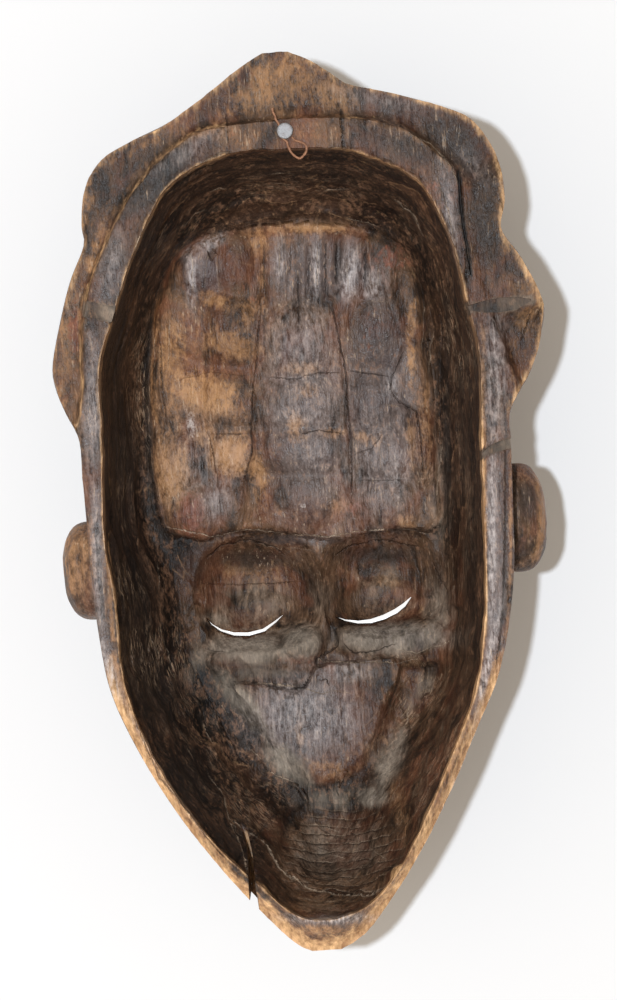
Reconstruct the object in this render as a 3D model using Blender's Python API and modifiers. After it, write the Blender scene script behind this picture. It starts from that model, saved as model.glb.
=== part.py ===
"""A carved wooden mask lying on its face, hollow side up, with the nail and wire it hangs by.

X runs across the mask, +Y to the top of its hair and +Z up out of the hollow.
The origin is on the surface it lies on, under the middle of its box.
"""

import math

import bmesh
import bpy
import numpy as np
from mathutils import Matrix, Vector

# Driving sizes of the carving: its outline, and how deep it stands from its rim to its front, in metres.
LENGTH = 0.3026
WIDTH = 0.1657
DEPTH = 0.120

# Sizes set by themselves, in metres.
THINNEST_WALL = 0.0055
SLIT_WIDTH = 0.0021
SAW_CUT_WIDTH = 0.0034
SAW_CUT_DEPTH = 0.0035
RECESS_DEPTH = 0.0012
SPLIT_WIDTH = 0.0030
CRACK_WIDTH = 0.0010
CRACK_DEPTH = 0.0045
NAIL_HEAD_RADIUS = 0.0027
NAIL_HEAD_THICKNESS = 0.0009
NAIL_SHANK_RADIUS = 0.0011
NAIL_DEPTH = 0.0130
WIRE_RADIUS = 0.0004
GAP = 0.0003

# Counts of the blank's net: across the middle, down each side, and the rings round them.
NET_ACROSS = 22
NET_DOWN = 38
WALL_RINGS = [0.015, 0.06, 0.14, 0.27, 0.44, 0.68, 1.0]
FRONT_RINGS = [0.0, 0.015, 0.05, 0.11, 0.19, 0.3, 0.43]
BACK_SPINE = (1.0, -92.0, 72.0)
FRONT_SPINE = (1.0, -100.0, 90.0)
OUTLINE_CORNERS = [(66.0, 124.0), (18.0, -140.5), (-18.5, -141.5), (-57.0, 120.5)]
HOLLOW_CORNERS = [(45.0, 106.0), (17.0, -134.0), (-17.0, -132.5), (-41.0, 103.0)]
BUSY_ROWS = [(107.0, 14.0, 0.6), (66.0, 7.0, 0.9), (-11.0, 5.0, 1.6), (-42.0, 14.0, 0.8), (-60.0, 6.0, 1.6)]
BUSY_ROWS = BUSY_ROWS + [(-84.0, 12.0, 3.0)]

# Outer edge of the back, from the top of the hair down each side to the chin.
RIGHT_EDGE = [
    (6.5, 151.2), (12.5, 148.6), (20.1, 143.4), (26.5, 138.9), (43.0, 134.1), (62.7, 126.7), (69.6, 120.1),
    (74.6, 109.7), (75.7, 97.0), (73.7, 86.9), (79.4, 77.4), (85.5, 63.5), (85.9, 55.1), (80.8, 39.3),
    (72.7, 25.8), (71.9, 14.1), (71.3, -4.4), (70.0, -27.8), (66.6, -47.8), (61.7, -64.3), (53.1, -82.1),
    (41.4, -104.9), (26.3, -129.0), (15.2, -143.4), (9.1, -148.7), (3.5, -151.4),
]
LEFT_EDGE = [
    (-2.8, 151.2), (-9.9, 147.2), (-24.0, 137.4), (-35.3, 130.2), (-48.4, 124.7), (-58.9, 119.0),
    (-65.0, 109.4), (-66.8, 97.7), (-66.5, 91.0), (-71.8, 79.6), (-76.1, 66.4), (-79.8, 51.6), (-79.3, 43.5),
    (-76.3, 34.5), (-72.5, 25.8), (-72.1, 12.4), (-71.8, -2.8), (-71.4, -21.3), (-70.2, -41.6),
    (-67.4, -60.3), (-59.5, -81.0), (-47.6, -103.0), (-35.3, -120.7), (-22.4, -137.4), (-12.0, -148.2),
    (-6.5, -151.4),
]
# Inner edge of the rim, clockwise round the mouth of the hollow.
HOLLOW = [
    (3.3, 118.5), (21.6, 117.2), (34.7, 112.3), (46.9, 104.7), (52.9, 94.2), (57.6, 80.5), (60.5, 63.5),
    (63.5, 42.0), (62.2, 16.4), (61.0, -10.4), (59.8, -37.2), (55.3, -63.7), (48.0, -81.6), (34.3, -109.2),
    (24.1, -125.9), (14.0, -136.3), (0.3, -140.4), (-11.3, -137.9), (-21.7, -128.1), (-34.9, -114.4),
    (-48.6, -95.0), (-58.8, -72.5), (-63.4, -52.0), (-64.0, -30.0), (-66.3, -6.0), (-64.7, 25.2),
    (-64.1, 48.7), (-58.1, 66.7), (-48.0, 91.2), (-35.3, 109.8), (-15.2, 118.1),
]
# Outer edge of the raised band round the hollow, where the flat back of the hair begins.
BAND = [
    (22.4, 128.2), (42.2, 123.8), (54.0, 114.3), (60.8, 106.4), (61.0, 88.6), (66.0, 68.0), (73.0, 45.8),
    (78.0, 22.0), (80.0, -40.0), (60.0, -110.0), (0.0, -170.0), (-60.0, -110.0), (-80.0, -40.0),
    (-78.0, 15.0), (-71.1, 39.1), (-68.3, 69.1), (-60.2, 89.4), (-47.7, 109.6), (-31.6, 123.6), (-17.3, 128.0),
]
# Plateau left inside the forehead, and the smaller one behind the mouth.
FOREHEAD_PANEL = [
    (0.0, 97.2), (31.0, 92.9), (44.2, 80.3), (47.7, 53.6), (48.5, 20.0), (50.0, -6.0), (44.0, -12.6),
    (29.0, -11.7), (11.9, -13.6), (-6.1, -9.9), (-27.2, -8.4), (-39.5, -9.3), (-48.1, -4.9), (-50.8, 21.8),
    (-51.0, 39.4), (-45.0, 74.2), (-30.7, 92.6),
]
MOUTH_PANEL = [
    (-28.7, -61.9), (-6.6, -64.3), (0.4, -59.8), (5.7, -56.0), (30.9, -57.7), (24.2, -78.3), (18.5, -90.5),
    (10.7, -96.6), (1.0, -98.9), (-8.8, -94.9), (-19.1, -80.5),
]

# Depth of each part of the hollow below the rim, in drawn millimetres.
SIDE_FLOOR = 75.0
FOREHEAD_FLOOR = 79.0
FOREHEAD_DISH = 3.0
MOUTH_FLOOR = 69.0
CHIN_FLOOR = 70.0
HAIR_BACK_STEP = 3.6
RIM_WAVE = 0.25

# The eyes, and how the front of the face stands out: (y, drawn millimetres in front of the rim).
EYES = [(-22.4, -42.6), (22.5, -41.0)]
# Hollows of the brow and the eyes inside, and the lumps left below them: middle, half sizes, depth or height.
HOLLOWS = [((-16.2, -31.0), (23.0, 20.5), 10.5), ((26.0, -30.0), (21.5, 19.5), 10.0)]
EYE_DIPS = [((-17.5, -39.5), (14.5, 7.5), 1.6), ((25.5, -37.0), (13.0, 7.5), 1.8)]
POUCHES = [
    ((-20.0, -53.5), (17.5, 9.0), 4.5), ((-3.4, -51.0), (9.5, 9.0), 5.5), ((19.5, -50.0), (11.0, 8.5), 5.0),
    ((37.5, -52.0), (13.5, 9.5), 4.5), ((-12.0, -60.5), (21.0, 7.0), 5.0),
]
EYE_HALF_LENGTH = 13.4
EYE_SAG = 5.2
LIP_HEIGHT = 17.5
AXIS = [(-151.0, -1.5), (-90.0, -2.5), (-42.0, 0.0), (50.0, 2.5), (151.0, 2.0)]
PROFILE = [
    (-152.0, 30.0), (-147.0, 60.0), (-139.0, 80.0), (-128.0, 96.0), (-113.0, 104.0), (-98.0, 103.5),
    (-85.0, 106.5), (-70.0, 105.0), (-55.0, 101.0), (-42.0, 98.5), (-24.0, 100.0), (-10.0, 104.0),
    (12.0, 109.0), (38.0, 111.0), (62.0, 108.0), (95.0, 99.0), (118.0, 84.0), (135.0, 62.0), (152.0, 30.0),
]
HEAD_HALF_WIDTH = [
    (-153.0, 8.0), (-147.0, 16.0), (-138.0, 24.5), (-120.0, 38.0), (-100.0, 49.5), (-82.0, 58.0),
    (-62.0, 65.5), (-30.0, 71.5), (0.0, 73.0), (30.0, 72.0), (60.0, 68.0), (90.0, 59.0), (115.0, 45.0),
    (135.0, 27.0), (153.0, 10.0),
]
FACE_SQUARENESS = 4.0
FACE_ROUNDING = 2.2
FACE_EDGE = 9.0

# The hair: where it starts on the forehead, the crest, and the lobes down each side.
HAIRLINE = [(0.0, 68.0), (26.0, 65.0), (46.0, 50.0), (58.0, 32.0), (66.0, 23.0), (90.0, 21.0)]
HAIR_EDGE = 38.0
HAIR_ROUND = 24.0
HAIR_TOP = [(20.0, 68.0), (50.0, 84.0), (88.0, 92.0), (108.0, 94.0), (128.0, 82.0), (152.0, 52.0)]
CREST_TOP = [(56.0, 108.0), (70.0, 116.0), (82.0, 123.5), (112.0, 123.5), (129.0, 111.0), (141.0, 92.0), (152.0, 60.0)]
CREST_HALF_WIDTH = 37.0
CREST_FLAT = 3.5
HAIR_STEP = 4.0
HAIRLINE_SLOPE = 6.5
VALLEYS = [((-68.0, 91.0), (-36.0, 66.0)), ((75.0, 88.0), (41.0, 66.0))]
VALLEY_DEPTH = 7.0
VALLEY_WIDTH = 6.5

# Ears: middle (x, y), half sizes across, along and deep, and depth of the middle below the rim.
EARS = [((-72.4, -18.4), (9.7, 16.8, 13.0), 30.0), ((73.6, -10.6), (9.7, 18.6, 13.0), 30.0)]
EAR_CUP = (6.0, 10.5, 7.5)

NAIL_AT = (3.6, 124.2)
# Tool marks on the rim: (middle, length along the cut, turn in degrees).
SAW_CUTS = [((70.5, 60.8), 16.5, 3.0), ((68.2, 15.4), 10.0, 0.0)]
SIDE_RECESS = ((-62.9, 68.3), (10.4, 5.3))
TOP_RECESS = ((3.3, 124.0), (37.5, 12.6))
RIM_CRACK = [(60.6, 106.5), (60.6, 97.0), (61.0, 88.6), (61.8, 80.2), (62.3, 71.8)]
SPLIT = [(-35.5, -89.0), (-29.5, -104.0), (-25.6, -118.0), (-24.5, -146.0)]
SPLIT_DEPTH = 46.0

# Metres for each drawn millimetre across, along and through the mask.
DRAWN_DEPTH = max(height for y, height in CREST_TOP) - CREST_FLAT
ACROSS = WIDTH / (max(x for x, y in RIGHT_EDGE) - min(x for x, y in LEFT_EDGE))
ALONG = LENGTH / (RIGHT_EDGE[0][1] - RIGHT_EDGE[-1][1])
RELIEF = DEPTH / DRAWN_DEPTH

MATERIALS = {
    "wood": ((0.135, 0.075, 0.045), 0.55, 0.0),
    "nail_steel": ((0.42, 0.41, 0.41), 0.45, 0.9),
    "wire_copper": ((0.40, 0.19, 0.08), 0.5, 0.7),
}


def smooth(t):
    """An S-shaped step from 0 to 1."""
    t = np.clip(t, 0.0, 1.0)
    return t * t * (3.0 - 2.0 * t)


def through(points, closed=False, steps=8):
    """A smooth curve through points, as an array of many points."""
    p = np.array(points, float)
    if closed:
        p = np.vstack([p[-1:], p, p[:2]])
    else:
        p = np.vstack([2 * p[:1] - p[1:2], p, 2 * p[-1:] - p[-2:-1]])
    t = np.arange(steps)[:, None] / steps
    pieces = []
    for a, b, c, d in zip(p[:-3], p[1:-2], p[2:-1], p[3:]):
        pieces.append(
            0.5 * (2 * b + (c - a) * t + (2 * a - 5 * b + 4 * c - d) * t**2 + (3 * b - a - 3 * c + d) * t**3)
        )
    if not closed:
        pieces.append(p[-2:-1])
    return np.vstack(pieces)


def along(table, y):
    """Reads a smooth curve drawn through a table of (y, value)."""
    curve = through(sorted(table))
    return np.interp(y, curve[:, 0], curve[:, 1])


def edge_x(points, y):
    """x of an edge, listed from top to bottom, at height y on the mask."""
    curve = through(points)[::-1]
    return np.interp(y, curve[:, 1], curve[:, 0])


def distance_to(line, x, y):
    """Distance from each (x, y) to a line of straight pieces."""
    best = np.full(np.shape(x), 1e9)
    for (ax, ay), (bx, by) in zip(line[:-1], line[1:]):
        dx, dy = bx - ax, by - ay
        t = np.clip(((x - ax) * dx + (y - ay) * dy) / max(dx * dx + dy * dy, 1e-9), 0.0, 1.0)
        best = np.minimum(best, np.hypot(x - ax - t * dx, y - ay - t * dy))
    return best


def inset(points, x, y):
    """How far each (x, y) lies inside a closed smooth outline; negative outside."""
    ring = through(points, closed=True, steps=5)
    ring = np.vstack([ring, ring[:1]])
    inside = np.zeros(np.shape(x), bool)
    for (ax, ay), (bx, by) in zip(ring[:-1], ring[1:]):
        if ay != by:
            inside ^= ((ay > y) != (by > y)) & (x < (bx - ax) * (y - ay) / (by - ay) + ax)
    return np.where(inside, 1.0, -1.0) * distance_to(ring, x, y)


def edge_gap(x, y):
    """How far each (x, y) lies inside the outer edge."""
    return distance_to(outline(), x, y)


def back_depth(x, y):
    """Depth of the back and of the hollow below the rim, in drawn millimetres."""
    gap = edge_gap(x, y)
    jaw = smooth((-50.0 - y) / 30.0)
    chin = smooth((-122.0 - y) / 18.0)
    bevel_width = 3.2 + 6.5 * chin
    rim = jaw * (3.0 + 6.5 * chin) * smooth(1.0 - gap / bevel_width)
    right_flush = smooth((x - 40.0) / 15.0) * smooth((y - 52.0) / 12.0) * smooth((112.0 - y) / 10.0)
    rim = rim + HAIR_BACK_STEP * (1.0 - 0.85 * right_flush) * smooth(0.5 - inset(BAND, x, y) / 2.2)

    floor = SIDE_FLOOR + (CHIN_FLOOR - SIDE_FLOOR) * smooth((-70.0 - y) / 40.0)
    panel = inset(FOREHEAD_PANEL, x, y)
    ledge = smooth((-2.0 - y) / 6.0) * smooth((48.0 - np.abs(x)) / 6.0)
    dish = FOREHEAD_FLOOR + FOREHEAD_DISH * smooth(panel / 40.0)
    floor = floor + (dish - floor) * smooth(0.5 + panel / (7.0 - 4.0 * ledge))
    below_ledge = smooth(0.5 - panel / 2.4) * smooth((-6.0 - y) / 4.0)
    sunk = np.zeros(np.shape(x))
    for (px, py), (rx, ry), deep in HOLLOWS:
        reach = (np.abs((x - px) / rx) ** 2.6 + np.abs((y - py) / ry) ** 2.6) ** (1 / 2.6)
        sunk = np.maximum(sunk, deep * np.clip(1.0 - reach**2.4, 0.0, 1.0) ** 0.9)
    for (px, py), (rx, ry), deep in EYE_DIPS:
        reach = np.hypot((x - px) / rx, (y - py) / ry)
        sunk = sunk + deep * smooth((1.25 - reach) / 0.6)
    floor = floor + sunk * below_ledge
    lumps = np.zeros(np.shape(x))
    for (px, py), (rx, ry), height in POUCHES:
        lump = 1.0 - ((x - px) / rx) ** 2 - ((y - py) / ry) ** 2
        lumps = np.maximum(lumps, height * np.clip(lump, 0.0, 1.0) ** 0.6)
    below_eye = smooth((-43.0 - y + 0.35 * np.abs(np.abs(x - 4.0) - 20.0)) / 3.5)
    floor = floor - lumps * below_eye
    upper = smooth((y + 70.0) / 6.0)
    floor = floor + (MOUTH_FLOOR - floor) * smooth(0.5 + inset(MOUTH_PANEL, x, y) / (7.0 - 4.0 * upper))

    rim = rim + RIM_WAVE * (1.0 + np.sin(0.11 * x + 0.8) * np.cos(0.073 * y - 0.4))
    t = np.clip(inset(HOLLOW, x, y) / wall_widths(x, y), 0.0, 1.0)
    drop = (1.0 - (1.0 - t) ** 2.1) ** 0.72
    return rim * (1.0 - smooth(3.0 * t)) + floor * drop


def face_depth(x, y):
    """How far the face itself stands in front of the rim, in drawn millimetres."""
    u = x - along(AXIS, y)
    side = np.abs(u)
    share = np.clip(side / along(HEAD_HALF_WIDTH, y), 0.0, 1.0)
    dome = (1.0 - share**FACE_SQUARENESS) ** (1.0 / FACE_ROUNDING)
    face = along(PROFILE, y) * dome

    def bump(bx, by, rx, ry, height):
        return height * np.exp(-(((side - bx) / rx) ** 2) - ((y - by) / ry) ** 2)

    face = face + bump(22.5, -41.0, 23.0, 13.0, -9.0)
    lid = 1.0 - ((side - 22.4) / 17.0) ** 2 - ((y + 41.0) / 10.5) ** 2
    face = face + 7.5 * np.sqrt(np.clip(lid, 0.0, 1.0))
    brow = -22.0 + 9.0 * np.sin(np.pi * np.clip((side - 3.0) / 46.0, 0.0, 1.0))
    face = face + 4.0 * np.exp(-(((y - brow) / 3.4) ** 2)) * smooth((50.0 - side) / 14.0)
    face = face + bump(40.0, -66.0, 17.0, 17.0, 5.0)

    down = np.clip((-20.0 - y) / 44.0, 0.0, 1.0)
    nose_width = 4.5 + 6.0 * down
    nose = (3.5 + 10.0 * down) * np.exp(-((side / nose_width) ** 2)) * smooth((y + 71.0) / 7.0)
    face = face + nose * smooth((-16.0 - y) / 8.0) + bump(9.5, -62.0, 4.5, 5.0, 5.0)

    lip_reach = np.clip(side / 21.0, 0.0, 1.0)
    upper = np.exp(-(np.abs((y + 78.5 + 1.0 * lip_reach) / 6.0) ** 2.4))
    lower = np.exp(-(np.abs((y + 90.0 - 2.0 * lip_reach) / 6.4) ** 2.4))
    face = face + LIP_HEIGHT * np.maximum(upper, lower) * np.sqrt(1.0 - lip_reach**2)
    return face + bump(0.0, -114.0, 15.0, 11.0, 6.0)


def front_depth(x, y):
    """How far the whole front stands in front of the rim, in drawn millimetres."""
    u = x - along(AXIS, y)
    side = np.abs(u)
    gap = edge_gap(x, y)
    face = np.maximum(face_depth(x, y), FACE_EDGE)

    round_off = np.sqrt(1.0 - (1.0 - np.clip(gap / HAIR_ROUND, 0.0, 1.0)) ** 2)
    lobes = HAIR_EDGE + (along(HAIR_TOP, y) - HAIR_EDGE) * round_off
    for line in VALLEYS:
        lobes = lobes - VALLEY_DEPTH * np.exp(-((distance_to(line, x, y) / VALLEY_WIDTH) ** 2))
    share = np.clip(side / CREST_HALF_WIDTH, 0.0, 1.0)
    crest = along(CREST_TOP, y) * (1.0 - share**3.2) ** 0.6
    hair = np.maximum(np.maximum(lobes, crest), face + HAIR_STEP)

    hairline = along(HAIRLINE, side)
    in_hair = smooth(0.5 + (y - hairline) / HAIRLINE_SLOPE)
    return np.minimum(face + (hair - face) * in_hair, DRAWN_DEPTH)


def outline():
    """The outer edge of the back as one closed smooth curve, clockwise from the top."""
    return np.vstack([through(RIGHT_EDGE), through(LEFT_EDGE)[::-1]])


def sampled(curve, corners):
    """Points of a ring of the net along a closed curve, from its upper right corner clockwise."""
    start = np.hypot(*(curve - corners[0]).T).argmin()
    curve = np.roll(curve, -start, axis=0)
    curve = np.vstack([curve, curve[:1]])
    stops = [0] + [int(np.hypot(*(curve - corner).T).argmin()) for corner in corners[1:]] + [len(curve) - 1]
    ring = []
    for first, last, count in zip(stops[:-1], stops[1:], [NET_DOWN, NET_ACROSS] * 2):
        side = curve[first:last + 1]
        steps = np.hypot(*np.diff(side, axis=0).T)
        middle = (side[1:, 1] + side[:-1, 1]) / 2
        if count == NET_DOWN:
            steps = steps * (1.0 + sum(w * np.exp(-(((middle - at) / wide) ** 2)) for at, wide, w in BUSY_ROWS))
        travelled = np.concatenate([[0.0], np.cumsum(steps)])
        wanted = np.linspace(0.0, travelled[-1], count + 1)[:-1]
        ring.append(np.stack([np.interp(wanted, travelled, side[:, k]) for k in (0, 1)], axis=1))
    return np.vstack(ring)


def inward(ring, spine, distance=None, share=None):
    """Moves each point of a ring towards a spine down the middle."""
    x, low, high = spine
    target = np.stack([np.full(len(ring), x), np.clip(ring[:, 1], low, high)], axis=1)
    way = target - ring
    if share is None:
        share = (distance / np.hypot(*way.T))[:, None]
    return ring + way * share


def band_places(outer, inner):
    """Where the edge of the raised band falls on the way from the outer edge to the hollow, 0 to 1."""
    shares = np.linspace(0.0, 1.0, 61)
    found = []
    for a, b in zip(outer, inner):
        line = a + (b - a) * shares[:, None]
        depth = inset(BAND, line[:, 0], line[:, 1])
        crossing = np.nonzero(depth > 0)[0]
        inside = len(crossing) and crossing[0] > 0
        found.append(float(shares[crossing[0]]) if inside else 0.4)
    found = np.array(found)
    return (np.roll(found, 1) + 2 * found + np.roll(found, -1)) / 4


def wall_widths(x, y):
    """Plan width of the hollow's wall, in drawn millimetres."""
    width = 13.5 + 8.0 * smooth((y - 78.0) / 25.0) + 17.0 * smooth((-62.0 - y) / 55.0)
    lower = smooth((5.0 - y) / 40.0) * smooth((y + 118.0) / 50.0)
    return width + lower * (2.0 + 8.0 * smooth((-x - 8.0) / 22.0))


def middle_net(ring):
    """Fills a ring with a net of straight rows, as an array [down][across] of points."""
    down, across = NET_DOWN, NET_ACROSS
    ring = np.vstack([ring, ring[:1]])
    right = ring[:down + 1]
    bottom = ring[down:down + across + 1][::-1]
    left = ring[down + across:2 * down + across + 1][::-1]
    top = ring[2 * down + across:]
    v = np.linspace(0.0, 1.0, down + 1)[:, None, None]
    u = np.linspace(0.0, 1.0, across + 1)[None, :, None]
    sides = (1 - u) * left[:, None] + u * right[:, None]
    ends = (1 - v) * top[None] + v * bottom[None]
    corners = (1 - v) * ((1 - u) * top[0] + u * top[-1]) + v * ((1 - u) * bottom[0] + u * bottom[-1])
    return sides + ends - corners


def collection(name):
    made = bpy.data.collections.new(name)
    bpy.context.scene.collection.children.link(made)
    return made


def material(name):
    colour, roughness, metallic = MATERIALS[name]
    made = bpy.data.materials.new(name)
    made.use_nodes = True
    shader = made.node_tree.nodes["Principled BSDF"]
    shader.inputs["Base Color"].default_value = (*colour, 1.0)
    shader.inputs["Roughness"].default_value = roughness
    shader.inputs["Metallic"].default_value = metallic
    return made


def add(name, bm, where):
    """Turns a bmesh into an object in a collection."""
    mesh = bpy.data.meshes.new(name)
    bmesh.ops.recalc_face_normals(bm, faces=bm.faces)
    bm.to_mesh(mesh)
    bm.free()
    obj = bpy.data.objects.new(name, mesh)
    where.objects.link(obj)
    return obj


def rim_height(x, y):
    """Height above the floor of the back of the mask at one drawn point, in metres."""
    return DEPTH - float(back_depth(np.array([x]), np.array([y]))[0]) * RELIEF


def place(point, depth):
    """A drawn point at a depth below the rim, as a place in metres."""
    return Vector((point[0] * ACROSS, point[1] * ALONG, DEPTH - depth * RELIEF))


def net_side(bm, rings, depth_of, shared=None):
    """Adds one side of the blank: nested rings, then a net in the innermost one."""
    made = []
    for number, ring in enumerate(rings[:-1]):
        if number == 0 and shared:
            made.append(shared)
            continue
        depths = depth_of(ring[:, 0], ring[:, 1])
        made.append([bm.verts.new(place(p, d)) for p, d in zip(ring, depths)])
    net = middle_net(rings[-1])
    depths = depth_of(net[..., 0], net[..., 1])
    grid = [[bm.verts.new(place(p, d)) for p, d in zip(row, line)] for row, line in zip(net, depths)]
    last = [row[-1] for row in grid[:-1]] + grid[-1][:0:-1] + [row[0] for row in grid[:0:-1]] + grid[0][:-1]
    made.append(last)
    for outer, inner in zip(made[:-1], made[1:]):
        for k in range(len(outer)):
            after = (k + 1) % len(outer)
            bm.faces.new((outer[k], outer[after], inner[after], inner[k]))
    for upper, lower in zip(grid[:-1], grid[1:]):
        for k in range(NET_ACROSS):
            bm.faces.new((upper[k], upper[k + 1], lower[k + 1], lower[k]))
    return made[0]


def carve_blank(name, where):
    """The whole carving as one closed skin: rim, hollow and face."""
    outer = sampled(outline(), np.array(OUTLINE_CORNERS))
    hollow = sampled(through(HOLLOW, closed=True), np.array(HOLLOW_CORNERS))
    band = band_places(outer, hollow)[:, None]
    across = np.hypot(*(hollow - outer).T)[:, None]
    step = np.minimum(1.3 / across, 0.25 * band)
    shares = [0.0 * band, np.minimum(0.12, band * 0.3), band - step, band + step, (1 + band) / 2, 0 * band + 1]
    rings = [outer + (hollow - outer) * share for share in shares]
    walls = wall_widths(hollow[:, 0], hollow[:, 1])
    rings = rings + [inward(hollow, BACK_SPINE, distance=walls * share) for share in WALL_RINGS]
    fronts = [inward(outer, FRONT_SPINE, share=share) for share in FRONT_RINGS]

    def front(x, y):
        return np.maximum(front_depth(x, y), back_depth(x, y) + THINNEST_WALL / RELIEF)

    bm = bmesh.new()
    edge = net_side(bm, rings, back_depth)
    net_side(bm, [outer] + fronts, front, shared=edge)
    return add(name, bm, where)


def prism(name, corners, low, high, where):
    """An upright solid on a closed outline in metres, for cutting."""
    bm = bmesh.new()
    floor = bm.faces.new([bm.verts.new((x, y, low)) for x, y in corners])
    made = bmesh.ops.extrude_face_region(bm, geom=[floor], use_keep_orig=True)["geom"]
    raised = [v for v in made if isinstance(v, bmesh.types.BMVert)]
    bmesh.ops.translate(bm, verts=raised, vec=(0.0, 0.0, high - low))
    return add(name, bm, where)


def strip(points, widths):
    """Outline of a strip of changing width along drawn points, in metres."""
    line = np.array([(x * ACROSS, y * ALONG) for x, y in points])
    way = np.gradient(line, axis=0)
    way = way / np.hypot(*way.T)[:, None]
    offset = np.stack([-way[:, 1], way[:, 0]], axis=1) * (np.array(widths) / 2)[:, None]
    return [tuple(p) for p in np.vstack([line + offset, (line - offset)[::-1]])]


def box_cut(name, middle, size, turn, low, where):
    """An upright box on a drawn middle and size, turned by some degrees, open to the back."""
    high = DEPTH + 0.01
    bm = bmesh.new()
    bmesh.ops.create_cube(bm, size=1.0)
    bmesh.ops.scale(bm, verts=bm.verts, vec=(size[0] * ACROSS, size[1] * ALONG, high - low))
    bmesh.ops.rotate(bm, verts=bm.verts, matrix=Matrix.Rotation(math.radians(turn), 3, "Z"))
    bmesh.ops.translate(bm, verts=bm.verts, vec=(middle[0] * ACROSS, middle[1] * ALONG, (low + high) / 2))
    return add(name, bm, where)


def cylinder(name, point, radius, low, high, where, sides=20):
    """An upright cylinder at a drawn point."""
    bm = bmesh.new()
    bmesh.ops.create_cone(
        bm, cap_ends=True, segments=sides, radius1=radius, radius2=radius, depth=high - low
    )
    bmesh.ops.translate(bm, verts=bm.verts, vec=(point[0] * ACROSS, point[1] * ALONG, (low + high) / 2))
    return add(name, bm, where)


def ball(name, middle, half, where, rings=10, sides=18):
    """A stretched ball at a place in metres; its poles are up and down the mask."""
    bm = bmesh.new()
    bmesh.ops.create_uvsphere(bm, u_segments=sides, v_segments=rings, radius=1.0)
    for v in bm.verts:
        x, y, z = v.co
        v.co = Vector((middle[0] + x * half[0], middle[1] + z * half[1], middle[2] - y * half[2]))
    return add(name, bm, where)


def combine(target, others, how):
    """Adds or cuts each of the others, for good."""
    for other in others:
        step = target.modifiers.new("combine", "BOOLEAN")
        step.operation = how
        step.solver = "EXACT"
        step.object = other
        bpy.context.view_layer.update()
        mesh = bpy.data.meshes.new_from_object(target.evaluated_get(bpy.context.evaluated_depsgraph_get()))
        target.modifiers.clear()
        target.data = mesh


def add_ears(mask, tools):
    """Rounded ears on the sides of the head, each with a cup facing outwards and forwards."""
    for number, ((x, y), half, depth) in enumerate(EARS):
        side = math.copysign(1.0, x)
        scaled = (half[0] * ACROSS, half[1] * ALONG, half[2] * RELIEF)
        ear = ball(f"ear_{number}", place((x, y), depth), scaled, tools)
        cup = (EAR_CUP[0] * ACROSS, EAR_CUP[1] * ALONG, EAR_CUP[2] * RELIEF)
        hole = ball(f"ear_cup_{number}", place((x + side * 6.5, y - 1.0), depth + 10.0), cup, tools, 8, 14)
        combine(ear, [hole], "DIFFERENCE")
        combine(mask, [ear], "UNION")


def slit(number, x, y, tools):
    """A cutter for one narrow, downward-bowed eye."""
    t = np.linspace(-1.0, 1.0, 9)
    points = [(x + EYE_HALF_LENGTH * a, y + EYE_SAG * (a * a - 0.5)) for a in t]
    widths = SLIT_WIDTH * (1.0 - 0.75 * np.abs(t) ** 3)
    return prism(f"slit_{number}", strip(points, widths), -0.01, DEPTH - MOUTH_FLOOR * RELIEF, tools)


def cut_marks(mask, tools):
    """Eyes, saw cuts, recesses, cracks and the bore for the nail."""
    cuts = [slit(number, x, y, tools) for number, (x, y) in enumerate(EYES)]
    for number, (middle, length, turn) in enumerate(SAW_CUTS):
        low = rim_height(*middle) - SAW_CUT_DEPTH
        cuts.append(box_cut(f"saw_cut_{number}", middle, (length, SAW_CUT_WIDTH / ALONG), turn, low, tools))
    for name, (middle, size), turn in (("side_recess", SIDE_RECESS, -15.0), ("top_recess", TOP_RECESS, 0.0)):
        cuts.append(box_cut(name, middle, size, turn, DEPTH - RECESS_DEPTH, tools))
    widths = np.full(len(RIM_CRACK), CRACK_WIDTH) * [0.9, 1.0, 0.8, 1.0, 0.4]
    cuts.append(prism("rim_crack", strip(RIM_CRACK, widths), DEPTH - CRACK_DEPTH, DEPTH + 0.01, tools))
    widths = SPLIT_WIDTH * np.array([0.12, 0.3, 0.45, 1.25])
    cuts.append(prism("split", strip(SPLIT, widths), DEPTH - SPLIT_DEPTH * RELIEF, DEPTH + 0.01, tools))
    bottom = DEPTH - RECESS_DEPTH - NAIL_DEPTH - 2 * GAP
    cuts.append(cylinder("nail_bore", NAIL_AT, NAIL_SHANK_RADIUS + GAP, bottom, DEPTH + 0.01, tools))
    combine(mask, cuts, "DIFFERENCE")


def nail(name, where):
    """A flat-headed nail standing a little proud of the rim."""
    surface = DEPTH - RECESS_DEPTH
    under_head = surface + 2 * GAP + 2 * WIRE_RADIUS
    top = under_head + NAIL_HEAD_THICKNESS
    tip = surface - NAIL_DEPTH
    profile = [
        (0.0, top), (0.85 * NAIL_HEAD_RADIUS, top), (NAIL_HEAD_RADIUS, top - 0.3 * NAIL_HEAD_THICKNESS),
        (NAIL_HEAD_RADIUS, under_head), (NAIL_SHANK_RADIUS, under_head), (NAIL_SHANK_RADIUS, tip + 0.003),
        (0.0, tip),
    ]
    mesh = bpy.data.meshes.new(name)
    mesh.from_pydata([(r, 0.0, z) for r, z in profile], [(k, k + 1) for k in range(len(profile) - 1)], [])
    obj = bpy.data.objects.new(name, mesh)
    where.objects.link(obj)
    obj.location = (NAIL_AT[0] * ACROSS, NAIL_AT[1] * ALONG, 0.0)
    screw = obj.modifiers.new("turned", "SCREW")
    screw.steps = screw.render_steps = 20
    screw.use_merge_vertices = True
    screw.merge_threshold = 0.00001
    return obj


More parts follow.
